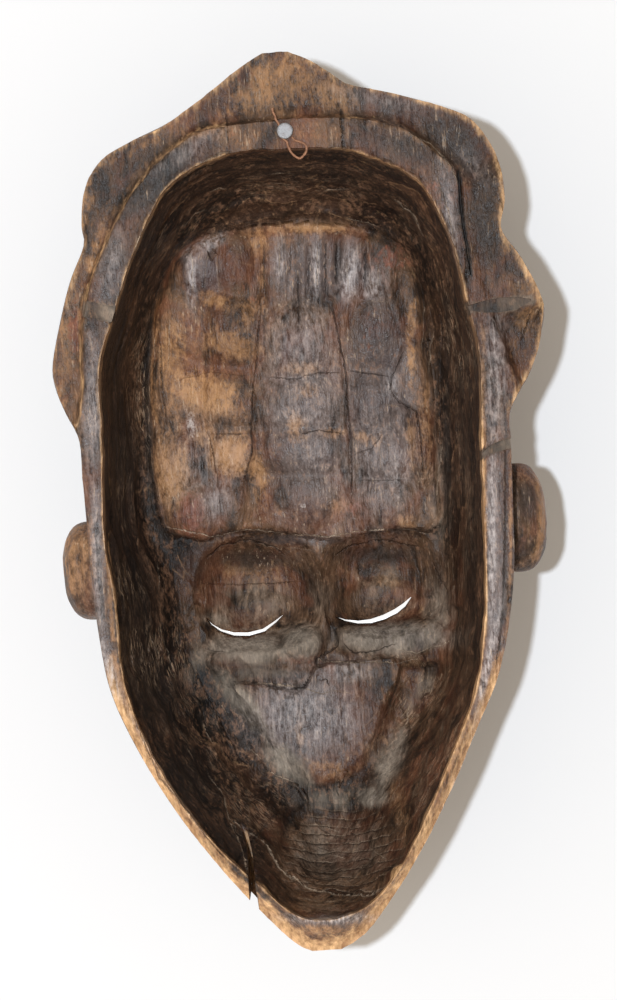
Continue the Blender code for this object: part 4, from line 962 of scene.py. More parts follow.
def gold_mask(s):
    """Bare golden wood along the worn edges."""
    u, v = s.u, s.v
    gap = distance_to(outline(), s.x, s.y)
    gold = smooth((v - 640) / 60.0) * bell(gap / 3.0) + 0.75 * smooth((v - 880) / 30.0) * bell(gap / 4.5)
    hair = smooth((420 - v) / 20.0)
    gold = gold + (0.45 + 0.3 * smooth((u - 380.0) / 60.0)) * hair * bell(gap / 1.5)
    gold = gold + bell(s.inside / 0.6) * (0.45 + 0.4 * smooth((u - 400) / 60.0) * smooth((v - 380) / 60.0))
    return gold + 0.45 * bell(s.band / 0.8) * (s.inside < 0) * smooth((400 - u) / 60.0)


def gouge_mask(s, within, mouth, eyes):
    """Where the gouge's fine cuts show."""
    uncut = np.where(s.panel < 0.5, 1.0 - 2.0 * s.panel, 0.5 * s.panel - 0.25)
    uncut = uncut * np.where(mouth < 0.5, 1.0 - 2.0 * mouth, mouth - 0.5)
    chin = smooth(1.5 - ((s.u - 338) / 78.0) ** 4 - ((s.v - 838) / 92.0) ** 4)
    return within * uncut * (1.0 - eyes) * (1.0 - chin)


def tones(points):
    """Masks of colour for each point of the back."""
    s = surface(points)
    u, v = s.u, s.v
    mouth = smooth(s.mouth / 3.0 + 0.5)
    within = smooth(s.inside / 1.0)
    eyes = smooth(1.25 - ((u - 322) / 150.0) ** 4 - ((v - 604) / 76.0) ** 4)
    masks = {name: patches(u, v, table) for name, table in PATCHES.items()}
    for name, lines in (("amber", GLOWS), ("dark", SHADES)):
        for line, width, strength in lines:
            masks[name] = np.maximum(masks[name], strength * bell(distance_to(line, u, v) / width))
    masks["hatch"] = masks["hatch"] * within * (1.0 - s.panel)
    masks["soot_and_shade"] = np.clip(soot_and_shade_mask(s, within, mouth, eyes), 0, 1)
    masks["gold"] = np.clip(gold_mask(s), 0, 1)
    masks["gouge"] = gouge_mask(s, within, mouth, eyes)
    away = np.hypot((u - ARC_MIDDLE[0]) * 0.9, v - ARC_MIDDLE[1])
    masks["arc"] = 0.335 * away + 0.5 * noise(s.x, s.y, 26.0, 31)
    arcs = smooth(1.4 - ((u - 344) / 58.0) ** 2 - ((v - 856) / 52.0) ** 2)
    masks["arcs"] = arcs * within * smooth((v - 792) / 14.0)
    masks["rim"] = (1.0 - within) * smooth(s.band / 1.5 + 0.5)
    for name, lines in LINES.items():
        masks[name + "_side"], masks[name] = line_field(lines, u, v)
    return masks


PATCHES = {
    "amber": AMBER, "red": RED, "slate": SLATE, "dust": DUST, "pale_and_highlight": PALE_AND_HIGHLIGHTS, "dark": DARK, "hatch": HATCH,
    "painted_sheen": PAINTED_SHEEN,
}
LINES = {"crease_a": CREASE_SHADES_A, "crease_b": CREASE_SHADES_B, "worn_a": WORN_AND_HIGHLIGHTS_A, "worn_b": WORN_AND_HIGHLIGHTS_B}
TONES = [*PATCHES, "gold", "soot_and_shade", "gouge", "rim", "arc", "arcs", *LINES, *(name + "_side" for name in LINES)]


def store(mesh, name, values, kind="FLOAT"):
    layer = mesh.attributes.new(name, kind, "POINT")
    layer.data.foreach_set("value" if kind == "FLOAT" else "vector", np.asarray(values, float).ravel())


def placed(points):
    return np.column_stack([
        (points[:, 0] + SHIFT[0]) * MM, (points[:, 1] + SHIFT[1]) * MM, (DEPTH - points[:, 2]) * MM
    ])


def on_mask(mesh):
    """A mesh's points as millimetres on the mask and depth below its rim."""
    here = np.zeros(len(mesh.vertices) * 3)
    mesh.vertices.foreach_get("co", here)
    here = here.reshape(-1, 3) / MM
    return np.column_stack([here[:, :2] - SHIFT, DEPTH - here[:, 2]])


def linked(name, data):
    """A new object with its data, in the scene."""
    obj = bpy.data.objects.new(name, data)
    bpy.context.scene.collection.objects.link(obj)
    return obj


def make_object(name, points, faces):
    mesh = bpy.data.meshes.new(name)
    mesh.from_pydata(placed(points).tolist(), [], faces)
    mesh.update()
    return linked(name, mesh)


def ring_faces(rings, turns):
    """Faces between rings of points, one ring after another."""
    faces = []
    for k in range(rings - 1):
        for j in range(turns):
            after = (j + 1) % turns
            faces.append((k * turns + j, k * turns + after, (k + 1) * turns + after, (k + 1) * turns + j))
    return faces


def face_outwards(obj, weld=0.0):
    """Turns all faces outwards, after welding points nearer than a distance in metres."""
    bm = bmesh.new()
    bm.from_mesh(obj.data)
    if weld:
        bmesh.ops.remove_doubles(bm, verts=bm.verts, dist=weld)
    bmesh.ops.recalc_face_normals(bm, faces=bm.faces)
    bm.to_mesh(obj.data)
    bm.free()


def carved():
    """The carving with its relief and its colour masks, before its cuts."""
    obj = make_object("carved_mask", np.vstack([back_points, front_points]), back_faces + front_faces)
    face_outwards(obj)
    mesh = obj.data
    normals = np.zeros(len(mesh.vertices) * 3)
    mesh.vertex_normals.foreach_get("vector", normals)
    normals = normals.reshape(-1, 3)[:len(back_points)]
    raised, shades = carve_marks(back_points)
    moved = np.vstack([back_points + normals * [1, 1, -1] * raised[:, None], front_points])
    mesh.vertices.foreach_set("co", placed(moved).ravel())
    mesh.update()
    back_tones = tones(back_points)
    zeros = np.zeros(len(front_points))
    for name in TONES:
        far = FADE if name.endswith("side") else 0.0
        store(mesh, name, np.concatenate([back_tones[name], zeros + far]))
    store(mesh, "front", np.concatenate([np.zeros(len(back_points)), zeros + 1.0]))
    store(mesh, "shade", np.concatenate([shades, zeros]))
    flow = np.vstack([gouge_flow(back_points), front_points[:, :2]])
    store(mesh, "flow", np.column_stack([flow, np.zeros(len(flow))]), "FLOAT_VECTOR")
    return obj


def prism(name, left, right, low, high, gold=0.0, soot_and_shade=0.0):
    """A cutter between two lines of points, from one depth to another."""
    count = len(left)
    rings = []
    for depth in (low, high):
        rings += [np.column_stack([np.array(line), np.full(count, depth)]) for line in (left, right)]
    faces = []
    for k in range(count - 1):
        a, b, c, d = k, count + k, 2 * count + k, 3 * count + k
        faces += [(a, a + 1, b + 1, b), (c, d, d + 1, c + 1), (a, c, c + 1, a + 1), (b, b + 1, d + 1, d)]
    faces += [(0, count, 3 * count, 2 * count), (count - 1, 3 * count - 1, 4 * count - 1, 2 * count - 1)]
    obj = make_object(name, np.vstack(rings), faces)
    face_outwards(obj)
    for tone in TONES:
        value = {"gold": gold, "soot_and_shade": soot_and_shade}.get(tone, FADE if tone.endswith("side") else 0.0)
        store(obj.data, tone, np.full(4 * count, value))
    store(obj.data, "front", np.zeros(4 * count))
    store(obj.data, "flow", np.zeros((4 * count, 3)), "FLOAT_VECTOR")
    return obj


def strip(points, widths):
    """The two sides of a line of points with a width at each of them."""
    p = np.array(points, float)
    way = np.gradient(p, axis=0)
    across = np.column_stack([-way[:, 1], way[:, 0]]) / np.hypot(*way.T)[:, None]
    half = np.array(widths, float)[:, None] / 2
    return p + across * half, p - across * half


def box(middle, size, turn):
    c, s = math.cos(math.radians(turn)), math.sin(math.radians(turn))
    along_box = np.array([c, s]) * size[0] / 2
    across_box = np.array([-s, c]) * size[1] / 2
    middle = np.array(middle)
    return [middle - along_box + across_box, middle + along_box + across_box], [
        middle - along_box - across_box, middle + along_box - across_box]


def from_picture(line, depth):
    """Millimetres on the mask for pixels of the photograph, at a depth."""
    scale = MM_PER_PIXEL * (CAMERA_ABOVE_RIM + depth) / CAMERA_ABOVE_RIM
    found = []
    for u, v in line:
        x, y = turned((u - PICTURE[0] / 2) * scale, (PICTURE[1] / 2 - v) * scale, TURN)
        found.append((x + CAMERA_OVER[0], y + CAMERA_OVER[1]))
    return found


SLITS = [
    [(207, 617), (212, 624), (221, 630), (234, 634), (249, 634), (264, 630), (275, 622), (283, 615)],
    [(335, 616), (345, 620), (358, 622), (371, 621), (384, 617), (396, 611), (404, 605), (411, 597)],
]
SLIT_WIDTHS = [[0.2, 0.7, 1.1, 1.4, 1.5, 1.3, 0.8, 0.2], [0.2, 0.8, 1.3, 1.7, 1.9, 1.9, 1.5, 0.4]]
SAW_CUTS = [
    ([(468, 308), (484, 307), (500, 305), (516, 303), (531, 300)], [1.4, 4.0, 4.8, 4.2, 0.7]),
    ([(481, 455), (490, 450), (500, 446), (514, 442)], [0.9, 2.6, 3.2, 3.0]),
]
SAW_CUT_DEPTH = 3.5
SIDE_RECESS = ((-62.9, 68.3), (10.6, 5.3))
SIDE_RECESS_TURN = -15.0
TOP_RECESS = ((3.3, 124.0), (37.5, 12.6))
RIM_CRACK = [(60.6, 106.5), (60.6, 97.0), (61.0, 88.6), (61.8, 80.2), (62.3, 71.8)]
SPLIT = [(-35.5, -89.0), (-29.5, -104.0), (-25.6, -118.0), (-24.5, -146.0)]
SPLIT_DEPTH = 46.0


def darken_cuts(mesh):
    """Darker, dustier colour in the bottoms of the saw cuts and the recesses, and painted shade in the crack.
    """
    x, y, depth = on_mask(mesh).T
    plain = {"gold": 0.0, "rim": 0.0, "painted_sheen": 0.0, "amber": 0.0, "slate": 0.0, "shade": 0.0}
    cuts = []
    for line, widths in SAW_CUTS:
        away = distance_to(from_picture(line, 2.0), x, y)
        cuts.append((away < max(widths) / 2 + 0.1, {"soot_and_shade": 0.45, "dust": 0.5, "dark": 0.28}))
    for (middle, size), turn, darkening in ((SIDE_RECESS, SIDE_RECESS_TURN, 0.55), (TOP_RECESS, 0.0, 0.0)):
        a, b = turned(x - middle[0], y - middle[1], math.radians(turn))
        within = (np.abs(a) < size[0] / 2 + 0.1) & (np.abs(b) < size[1] / 2 + 0.1)
        cuts.append((within, {"soot_and_shade": darkening, "dust": 0.8 * darkening}))
    # Painted shade: the crack black.
    cuts.append(((distance_to(RIM_CRACK, x, y) < 0.75) & (depth > 0.2), {"soot_and_shade": 1.0, "dark": 1.0}))
    for within, darkening in cuts:
        within = within & (depth < 12.0)
        for name, value in {**plain, **darkening}.items():
            layer = np.zeros(len(x))
            mesh.attributes[name].data.foreach_get("value", layer)
            layer[within] = value
            mesh.attributes[name].data.foreach_set("value", layer)


def cut_marks(obj):
    cutters = []
    for number, (line, widths) in enumerate(zip(SLITS, SLIT_WIDTHS)):
        bent = from_picture(line, 90.0)
        cutters.append(prism(f"slit_{number}", *strip(bent, widths), 70.0, 130.0, gold=0.2))
    for number, (line, widths) in enumerate(SAW_CUTS):
        sides = strip(from_picture(line, 2.0), widths)
        cutters.append(prism(f"saw_cut_{number}", *sides, -1.0, SAW_CUT_DEPTH, soot_and_shade=0.5))
    for number, ((middle, size), turn) in enumerate(((SIDE_RECESS, SIDE_RECESS_TURN), (TOP_RECESS, 0.0))):
        cutters.append(prism(f"recess_{number}", *box(middle, size, turn), -1.0, RECESS_DEPTH, soot_and_shade=0.25))
    widths = np.interp(np.arange(13), [0, 3, 6, 9, 12], [0.5, 0.8, 0.7, 0.8, 0.3])
    crack = strip(through(RIM_CRACK, steps=3), widths)
    # The crack's walls carry painted black shade.
    cutters.append(prism("rim_crack", *crack, -1.0, 4.5, soot_and_shade=1.0))
    widths = np.interp(np.arange(10), [0, 3, 6, 9], [0.4, 0.9, 1.35, 3.7])
    cutters.append(prism("split", *strip(through(SPLIT, steps=3), widths), -1.0, SPLIT_DEPTH, gold=0.9))
    for cutter in cutters:
        step = obj.modifiers.new(cutter.name, "BOOLEAN")
        step.operation = "DIFFERENCE"
        step.solver = "EXACT"
        step.object = cutter
    bpy.context.view_layer.update()
    mesh = bpy.data.meshes.new_from_object(obj.evaluated_get(bpy.context.evaluated_depsgraph_get()))
    obj.modifiers.clear()
    obj.data = mesh
    for cutter in cutters:
        bpy.data.objects.remove(cutter)
    darken_cuts(mesh)


def add_ear(obj, middle, half, depth):
    """An ear: a flattened ball with a dish on its outer side, joined to the carving."""
    rows, turns = EAR_NET
    side = math.copysign(1.0, middle[0])
    points = []
    for k in range(rows + 1):
        lift = math.pi * k / rows
        for j in range(turns):
            turn = 2 * math.pi * j / turns
            ring = math.sin(lift) ** 0.85
            cx, cy = math.cos(turn), math.sin(turn)
            round_off = (abs(cx) ** 2.5 + abs(cy) ** 2.5) ** (-1 / 2.5)
            points.append((cx * ring * round_off, cy * ring * round_off, -math.cos(lift)))
    points = np.array(points)
    dish = np.exp(-((points[:, 0] * side - 0.45) / 0.42) ** 2 - ((points[:, 1] + 0.02) / 0.62) ** 2)
    front_side = smooth((points[:, 2] + 0.15) / 0.5)
    points[:, 2] -= 0.55 * dish * front_side
    back_dish = np.exp(-((points[:, 0] * side - 0.35) / 0.3) ** 2 - (points[:, 1] / 0.55) ** 2)
    points[:, 2] += 0.12 * back_dish * (1.0 - front_side)
    points = points * half + [middle[0], middle[1], depth]
    points += 0.25 * np.column_stack([noise(points[:, 1], points[:, 2], 7.0, seed) for seed in (11, 12, 13)])
    ear = make_object("ear", points, ring_faces(rows + 1, turns))
    face_outwards(ear, weld=0.00002)
    here = on_mask(ear.data)
    found = tones(here)
    for tone in TONES:
        store(ear.data, tone, found[tone])
    store(ear.data, "front", 0.5 * smooth((here[:, 2] - depth) / 6.0))
    store(ear.data, "flow", np.column_stack([here[:, 1], here[:, 0], here[:, 2]]), "FLOAT_VECTOR")
    with bpy.context.temp_override(active_object=obj, selected_editable_objects=[obj, ear]):
        bpy.ops.object.join()


mask = carved()
cut_marks(mask)
for middle, half, depth in EARS:
    add_ear(mask, middle, half, depth)
mask.data.shade_smooth()
mask.data.set_sharp_from_angle(angle=math.radians(55))
print("triangles", sum(len(face.vertices) - 2 for face in mask.data.polygons))
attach(mask, "root")
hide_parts("mask_carving")


class Nodes:
    """A short way to write a material's nodes."""

    def __init__(self, name):
        self.material = bpy.data.materials.new(name)
        self.material.use_nodes = True
        self.tree = self.material.node_tree
        self.shader = self.tree.nodes["Principled BSDF"]
        self.place = self.add("ShaderNodeTexCoord").outputs["Object"]
        self.colour = None

    def add(self, kind, **settings):
        node = self.tree.nodes.new(kind)
        for key, value in settings.items():
            setattr(node, key, value)
        return node

    def put(self, socket, value):
        if isinstance(value, bpy.types.NodeSocket):
            self.tree.links.new(value, socket)
        elif isinstance(value, tuple) and len(value) == 3 and socket.type == "RGBA":
            socket.default_value = (*value, 1.0)
        else:
            socket.default_value = value

    def scaled(self, scale, vector=None):
        node = self.add("ShaderNodeMapping")
        self.put(node.inputs["Vector"], vector or self.place)
        node.inputs["Scale"].default_value = scale
        return node.outputs["Vector"]

    def noise(self, scale, detail, rough, bend=0.0, vector=None):
        """A noise of some cells to a unit along each axis, spread over 0 to 1."""
        node = self.add("ShaderNodeTexNoise")
        self.put(node.inputs["Vector"], self.scaled(scale, vector))
        node.inputs["Scale"].default_value = 1.0
        node.inputs["Detail"].default_value = detail
        node.inputs["Roughness"].default_value = rough
        node.inputs["Distortion"].default_value = bend
        return self.ramp(node.outputs["Fac"], 0.3, 0.7, kind="LINEAR")

    def math(self, operation, a, b=0.0, c=0.0):
        node = self.add("ShaderNodeMath", operation=operation)
        for socket, value in zip(node.inputs, (a, b, c)):
            self.put(socket, value)
        return node.outputs[0]

    def times(self, a, b):
        return self.math("MULTIPLY", a, b)

    def plus(self, a, share, b):
        """A share of one value added to another."""
        return self.math("MULTIPLY_ADD", a, share, b)

    def blend(self, a, share, b):
        """Two values mixed, with a share of the first."""
        return self.plus(a, share, self.times(b, 1.0 - share))

    def paint(self, mask, share, colour):
        """Paints a colour over what is there, where a mask lets it."""
        self.colour = self.mix(self.times(mask, share), self.colour, colour)

    def coat(self, name, noise, edge, share, colour):
        """Paints a layer's mask, its edge broken by a noise (amount, low, high), and gives the mask back."""
        mask = self.broken(self.layer(name), noise, *edge)
        self.paint(mask, share, colour)
        return mask

    def ramp(self, value, low, high, to_low=0.0, to_high=1.0, kind="SMOOTHSTEP"):
        node = self.add("ShaderNodeMapRange", interpolation_type=kind)
        names = ("Value", "From Min", "From Max", "To Min", "To Max")
        for name, part in zip(names, (value, low, high, to_low, to_high)):
            self.put(node.inputs[name], part)
        return node.outputs["Result"]

    def mix(self, share, a, b):
        node = self.add("ShaderNodeMix", data_type="RGBA")
        self.put(node.inputs[0], share)
        self.put(node.inputs[6], a)
        self.put(node.inputs[7], b)
        return node.outputs[2]

    def layer(self, name, output="Fac"):
        return self.add("ShaderNodeAttribute", attribute_name=name).outputs[output]

    def broken(self, mask, noise, amount, low, high):
        """A soft mask given a natural, ragged edge by a noise."""
        lifted = self.plus(self.math("SUBTRACT", noise, 0.5), amount, mask)
        return self.ramp(lifted, low, high)

    def line(self, name, wobble, width):
        """A thin drawn line, from its signed distance in millimetres."""
        side = self.plus(self.math("SUBTRACT", wobble, 0.5), 0.7, self.layer(name + "_side"))
        near = self.ramp(self.math("ABSOLUTE", side), width, width * 0.2)
        return self.times(near, self.layer(name))

    def bumped(self, height, distance, strength):
        """The finished material, with a height of small relief, in metres."""
        bump = self.add("ShaderNodeBump")
        for name, value in (("Distance", distance), ("Strength", strength), ("Height", height)):
            self.put(bump.inputs[name], value)
        self.put(self.shader.inputs["Normal"], bump.outputs["Normal"])
        return self.material

    def cells(self, vector, feature):
        node = self.add("ShaderNodeTexVoronoi", voronoi_dimensions="2D", feature=feature)
        self.put(node.inputs["Vector"], vector)
        node.inputs["Scale"].default_value = 1.0
        return node


def wood_noises(n):
    """The wood's noises and their mixtures, all from 0 to 1."""
    w = SimpleNamespace()
    w.grain = n.noise((340.0, 60.0, 340.0), detail=3.0, rough=0.7)
    w.long_grain = n.noise((300.0, 16.0, 300.0), detail=3.0, rough=0.7)
    w.fibre = n.noise((1300.0, 150.0, 1300.0), detail=2.0, rough=0.6)
    w.blotch = n.noise((80.0, 52.0, 80.0), detail=4.0, rough=0.7, bend=0.8)
    w.fine = n.noise((560.0, 300.0, 560.0), detail=3.0, rough=0.75)
    w.hue = n.noise((52.0, 42.0, 60.0), detail=4.0, rough=0.65, bend=0.5)
    w.streak = n.blend(w.grain, 0.45, w.blotch)
    w.ragged = n.blend(w.blotch, 0.6, w.grain)
    w.specks = n.blend(w.fine, 0.6, w.blotch)
    w.speckle = n.blend(w.fibre, 0.45, w.fine)
    w.veins = n.blend(w.long_grain, 0.6, w.fine)
    w.threads = n.blend(w.fine, 0.18, w.long_grain)
    w.patchy = n.blend(w.fine, 0.4, w.hue)
    return w


def gouge_cells(n, w):
    """The gouge's cuts as bent cells, with their ridges, shades and bowls, and the knife's strokes."""
    flow = n.layer("flow", "Vector")
    shaken = n.add("ShaderNodeTexNoise")
    n.put(shaken.inputs["Vector"], n.scaled((0.05, 0.05, 0.05), flow))
    shaken.inputs["Scale"].default_value = 1.0
    shaken.inputs["Detail"].default_value = 1.0
    bent = n.add("ShaderNodeVectorMath", operation="MULTIPLY_ADD")
    n.put(bent.inputs[0], shaken.outputs["Color"])
    bent.inputs[1].default_value = (18.0, 9.0, 0.0)
    n.put(bent.inputs[2], flow)
    place = n.scaled((1 / CUT_LENGTH, 1 / CUT_WIDTH, 1.0), bent.outputs[0])
    cuts = n.cells(place, "F1")
    borders = n.cells(place, "DISTANCE_TO_EDGE").outputs["Distance"]
    gouge = n.layer("gouge")
    w.ridge = n.times(n.ramp(borders, 0.05, 0.0), gouge)
    parts = n.add("ShaderNodeSeparateColor")
    n.put(parts.inputs["Color"], cuts.outputs["Color"])
    w.shade = n.times(parts.outputs[0], gouge)
    distance = cuts.outputs["Distance"]
    w.bowl = n.times(n.times(n.ramp(distance, 0.0, 0.8, kind="LINEAR"), distance), gouge)
    strokes = n.noise((0.22, 1.7, 1.0), detail=2.0, rough=0.6, vector=flow)
    strokes = n.times(n.ramp(strokes, 0.54, 0.70), n.ramp(w.blotch, 0.34, 0.60))
    w.strokes = n.times(strokes, n.layer("hatch"))


def drawn_lines(n, w):
    """Creases with painted shade and edges of wear with painted highlights: the drawn ones, and the arcs
    round the chin, shaded at one edge of each step and lit at the other.
    """
    arc = n.plus(n.math("SUBTRACT", w.hue, 0.5), 1.4, n.layer("arc"))
    w.arc = n.math("FRACT", n.times(arc, 1 / ARC_SPACING))
    w.arcs = n.times(n.layer("arcs"), n.ramp(w.blotch, 0.2, 0.6, 0.15, 1.0))
    crease = n.math("MAXIMUM", n.line("crease_a", w.fine, 0.38), n.line("crease_b", w.fine, 0.28))
    crease = n.times(crease, n.ramp(w.blotch, 0.0, 0.6, 0.35, 1.0))
    worn = n.math("MAXIMUM", n.line("worn_a", w.fine, 0.28), n.line("worn_b", w.fine, 0.24))
    worn = n.times(worn, n.ramp(w.specks, 0.25, 0.7, 0.15, 1.0))
    w.crease = n.math("MAXIMUM", crease, n.times(w.arcs, n.ramp(w.arc, 0.24, 0.0, 0.0, 0.6)))
    w.worn = n.math("MAXIMUM", worn, n.times(w.arcs, n.ramp(w.arc, 0.84, 1.0, 0.0, 0.6)))


def bare_wood(n, w):
    """Brown wood with its red, slate and golden parts, before soot and dust."""
    n.colour = n.mix(n.ramp(w.streak, 0.15, 0.85), (0.016, 0.010, 0.007), (0.150, 0.078, 0.040))
    reddish = n.mix(w.grain, (0.055, 0.018, 0.010), (0.19, 0.075, 0.036))
    n.paint(n.ramp(w.hue, 0.35, 0.8), 0.75, reddish)
    slate = n.mix(w.ragged, (0.028, 0.023, 0.026), (0.165, 0.125, 0.110))
    w.slate = n.coat("slate", w.ragged, (0.9, 0.15, 0.85), 0.8, slate)
    amber = n.mix(w.ragged, (0.105, 0.042, 0.016), (0.51, 0.275, 0.122))
    n.coat("amber", w.specks, (1.15, 0.05, 1.0), 0.88, amber)
    red = n.mix(w.grain, (0.055, 0.015, 0.009), (0.22, 0.068, 0.035))
    n.coat("red", w.specks, (1.6, 0.3, 0.95), 0.8, red)


def soiled_wood(n, w):
    """Soot with painted shade, and dust, over the bare wood, and the ridges rubbed free of them."""
    soot_and_shade_colour = n.mix(n.ramp(w.specks, 0.42, 0.80), (0.0036, 0.0030, 0.0027), (0.108, 0.055, 0.031))
    lit_cut = n.mix(w.specks, (0.008, 0.005, 0.004), (0.15, 0.075, 0.040))
    soot_and_shade_colour = n.mix(n.times(n.math("POWER", w.shade, 2.0), 0.85), soot_and_shade_colour, lit_cut)
    # Soot with painted shade.
    w.soot_and_shade = n.coat("soot_and_shade", w.specks, (0.75, 0.0, 0.85), 0.95, soot_and_shade_colour)
    n.paint(n.times(w.ridge, n.ramp(w.patchy, 0.50, 0.74)), 0.42, (0.32, 0.185, 0.095))
    dusty = n.mix(w.ragged, (0.135, 0.105, 0.078), (0.380, 0.318, 0.250))
    w.dust = n.coat("dust", w.ragged, (0.6, 0.12, 0.95), 0.85, dusty)


def worn_wood(n, w):
    """Dark patches partly of painted shade, edges of wear partly of painted highlights, painted reflections,
    scratches and drawn lines, over all else.
    """
    rim = n.layer("rim")
    n.paint(n.times(rim, n.ramp(w.veins, 0.36, 0.12)), 0.42, (0.018, 0.012, 0.011))
    # Dark patches, partly painted shade.
    n.coat("dark", w.ragged, (0.9, 0.1, 0.9), 0.76, (0.016, 0.012, 0.010))
    n.paint(w.strokes, 0.70, (0.44, 0.30, 0.19))
    golden = n.mix(w.threads, (0.20, 0.080, 0.028), (0.80, 0.50, 0.250))
    n.coat("gold", w.threads, (0.55, 0.10, 0.80), 0.92, golden)
    # Light-coloured wood and painted highlights.
    n.coat("pale_and_highlight", w.specks, (1.1, 0.35, 1.0), 0.7, (0.52, 0.46, 0.42))
    # Painted reflection: silver painted over its patches and, faintly, over the whole rim.
    painted_sheen = n.plus(rim, 0.06, n.layer("painted_sheen"))
    n.paint(n.times(painted_sheen, n.ramp(w.speckle, 0.12, 0.90)), 0.95, (0.44, 0.39, 0.370))
    scratch = n.times(n.ramp(w.fibre, 0.80, 0.98), n.ramp(w.blotch, 0.40, 0.70))
    n.paint(n.times(scratch, n.math("SUBTRACT", 1.0, w.soot_and_shade)), 0.5, (0.42, 0.30, 0.20))
    # Painted shade in the creases.
    n.paint(w.crease, 0.62, (0.014, 0.009, 0.007))
    # Edges of wear and painted highlights.
    n.paint(w.worn, 0.7, (0.42, 0.32, 0.23))


def wood_colour(n, w):
    """The colour with its lighter and darker grain, and a plainer one on the front."""
    tint = n.plus(w.fine, 0.62, n.plus(w.fibre, 0.20, n.plus(n.layer("shade"), 0.24, 0.62)))
    # Painted shading across each of the chin's steps, darker at one edge and lighter at the other.
    tint = n.plus(n.times(w.arcs, n.math("SUBTRACT", w.arc, 0.5)), 0.35, tint)
    tinted = n.add("ShaderNodeVectorMath", operation="SCALE")
    n.put(tinted.inputs[0], n.colour)
    n.put(tinted.inputs["Scale"], tint)
    front = n.mix(w.ragged, (0.040, 0.021, 0.012), (0.135, 0.074, 0.042))
    return n.mix(n.layer("front"), tinted.outputs[0], front)


def wood_material():
    n = Nodes("carved_wood")
    w = wood_noises(n)
    for part in (gouge_cells, drawn_lines, bare_wood, soiled_wood, worn_wood):
        part(n, w)
    n.put(n.shader.inputs["Base Color"], wood_colour(n, w))
    rough = 0.35
    for part, share in ((w.fine, 0.22), (w.dust, 0.35), (w.slate, -0.08), (w.soot_and_shade, 0.10)):
        rough = n.plus(part, share, rough)
    n.put(n.shader.inputs["Roughness"], rough)
    n.shader.inputs["Specular IOR Level"].default_value = 0.24
    height = n.plus(w.grain, 0.22, n.times(w.fibre, 0.08))
    steps = n.times(w.arc, w.arcs)
    relief = ((w.fine, 0.20), (w.strokes, 0.25), (steps, 0.4), (w.bowl, 1.0), (w.crease, -0.5), (w.worn, 0.3))
    for part, share in relief:
        height = n.plus(part, share, height)
    return n.bumped(height, 0.001, 1.0)


mask.data.materials.append(wood_material())

NAIL_HEAD_THICKNESS = 0.9
NAIL_SHANK_RADIUS = 1.1
NAIL_DEPTH = 13.0
WIRE_RADIUS = 0.4
GAP = 0.3


def nail():
    surface = RECESS_DEPTH
    under_head = surface - 2 * GAP - 2 * WIRE_RADIUS
    top = under_head - NAIL_HEAD_THICKNESS
    tip = surface + NAIL_DEPTH
    profile = [
        (0.0, top + 0.12), (1.2, top + 0.08), (2.0, top), (2.45, top + 0.04), (2.65, top + 0.2),
        (2.7, top + 0.45), (2.62, top + 0.75), (2.4, under_head), (NAIL_SHANK_RADIUS, under_head),
        (NAIL_SHANK_RADIUS, tip - 3.0), (0.0, tip),
    ]
    turns = NAIL_TURNS
    points = []
    for radius, depth in profile:
        for j in range(turns):
            turn = 2 * math.pi * j / turns
            uneven = 1.0 + 0.02 * math.sin(3 * turn + 1.0) + 0.012 * math.sin(7 * turn)
            across, up = radius * uneven * math.cos(turn), radius * math.sin(turn)
            points.append((NAIL_AT[0] + across, NAIL_AT[1] + up, depth))
    obj = make_object("nail_with_flat_head", np.array(points), ring_faces(len(profile), turns))
    face_outwards(obj, weld=0.000005)
    obj.data.shade_smooth()
    obj.data.set_sharp_from_angle(angle=math.radians(50))
    return obj


def wire():
    aside = NAIL_SHANK_RADIUS + GAP + WIRE_RADIUS
    path = [
        (-3.7, 7.9), (-3.5, 6.6), (-2.9, 5.2), (-2.7, 4.0), (-1.9, 2.6), (-aside, 1.2), (-aside, -0.6),
        (-0.6, -2.6), (0.4, -3.6), (0.7, -4.9), (1.6, -7.2), (3.0, -8.8), (4.5, -9.4), (6.0, -8.3),
        (6.9, -6.5), (6.3, -4.9), (4.9, -4.0), (3.1, -3.3), (2.3, -2.2),
    ]
    line = through(np.array(path) + NAIL_AT, steps=8)
    turns = WIRE_TURNS
    bends = [noise(line[:, 0], line[:, 1], 3.0, seed) for seed in (21, 22)]
    line = line + 0.05 * np.column_stack(bends)
    height = RECESS_DEPTH - GAP - WIRE_RADIUS
    way = np.gradient(line, axis=0)
    across = np.column_stack([-way[:, 1], way[:, 0]]) / np.hypot(*way.T)[:, None]
    points = []
    for k, (middle, side) in enumerate(zip(line, across)):
        radius = WIRE_RADIUS * (1.0 + 0.08 * math.sin(1.7 * k) + 0.06 * math.sin(0.6 * k + 1.0))
        for j in range(turns):
            turn = 2 * math.pi * j / turns
            flat = middle + side * radius * math.cos(turn)
            points.append((flat[0], flat[1], height - radius * math.sin(turn)))
    faces = ring_faces(len(line), turns)
    faces.append(tuple(range(turns)))
    faces.append(tuple(range((len(line) - 1) * turns, len(line) * turns)))
    obj = make_object("wire_with_loop", np.array(points), faces)
    face_outwards(obj)
    obj.data.shade_smooth()
    return obj


def metal_material(name, dark, light, metallic, roughness, patches_of_rust):
    n = Nodes(name)
    speckle = n.noise((1500.0, 1500.0, 1500.0), detail=5.0, rough=0.7)
    stain = n.noise((500.0, 400.0, 500.0), detail=4.0, rough=0.6)
    colour = n.mix(speckle, dark, light)
    rust = n.times(n.ramp(stain, 0.45, 0.8), patches_of_rust)
    colour = n.mix(rust, colour, (0.13, 0.052, 0.022))
    n.put(n.shader.inputs["Base Color"], colour)
    n.put(n.shader.inputs["Metallic"], n.plus(rust, -metallic, metallic))
    n.put(n.shader.inputs["Roughness"], n.plus(speckle, 0.2, roughness))
    return n.bumped(speckle, 0.0001, 0.7)


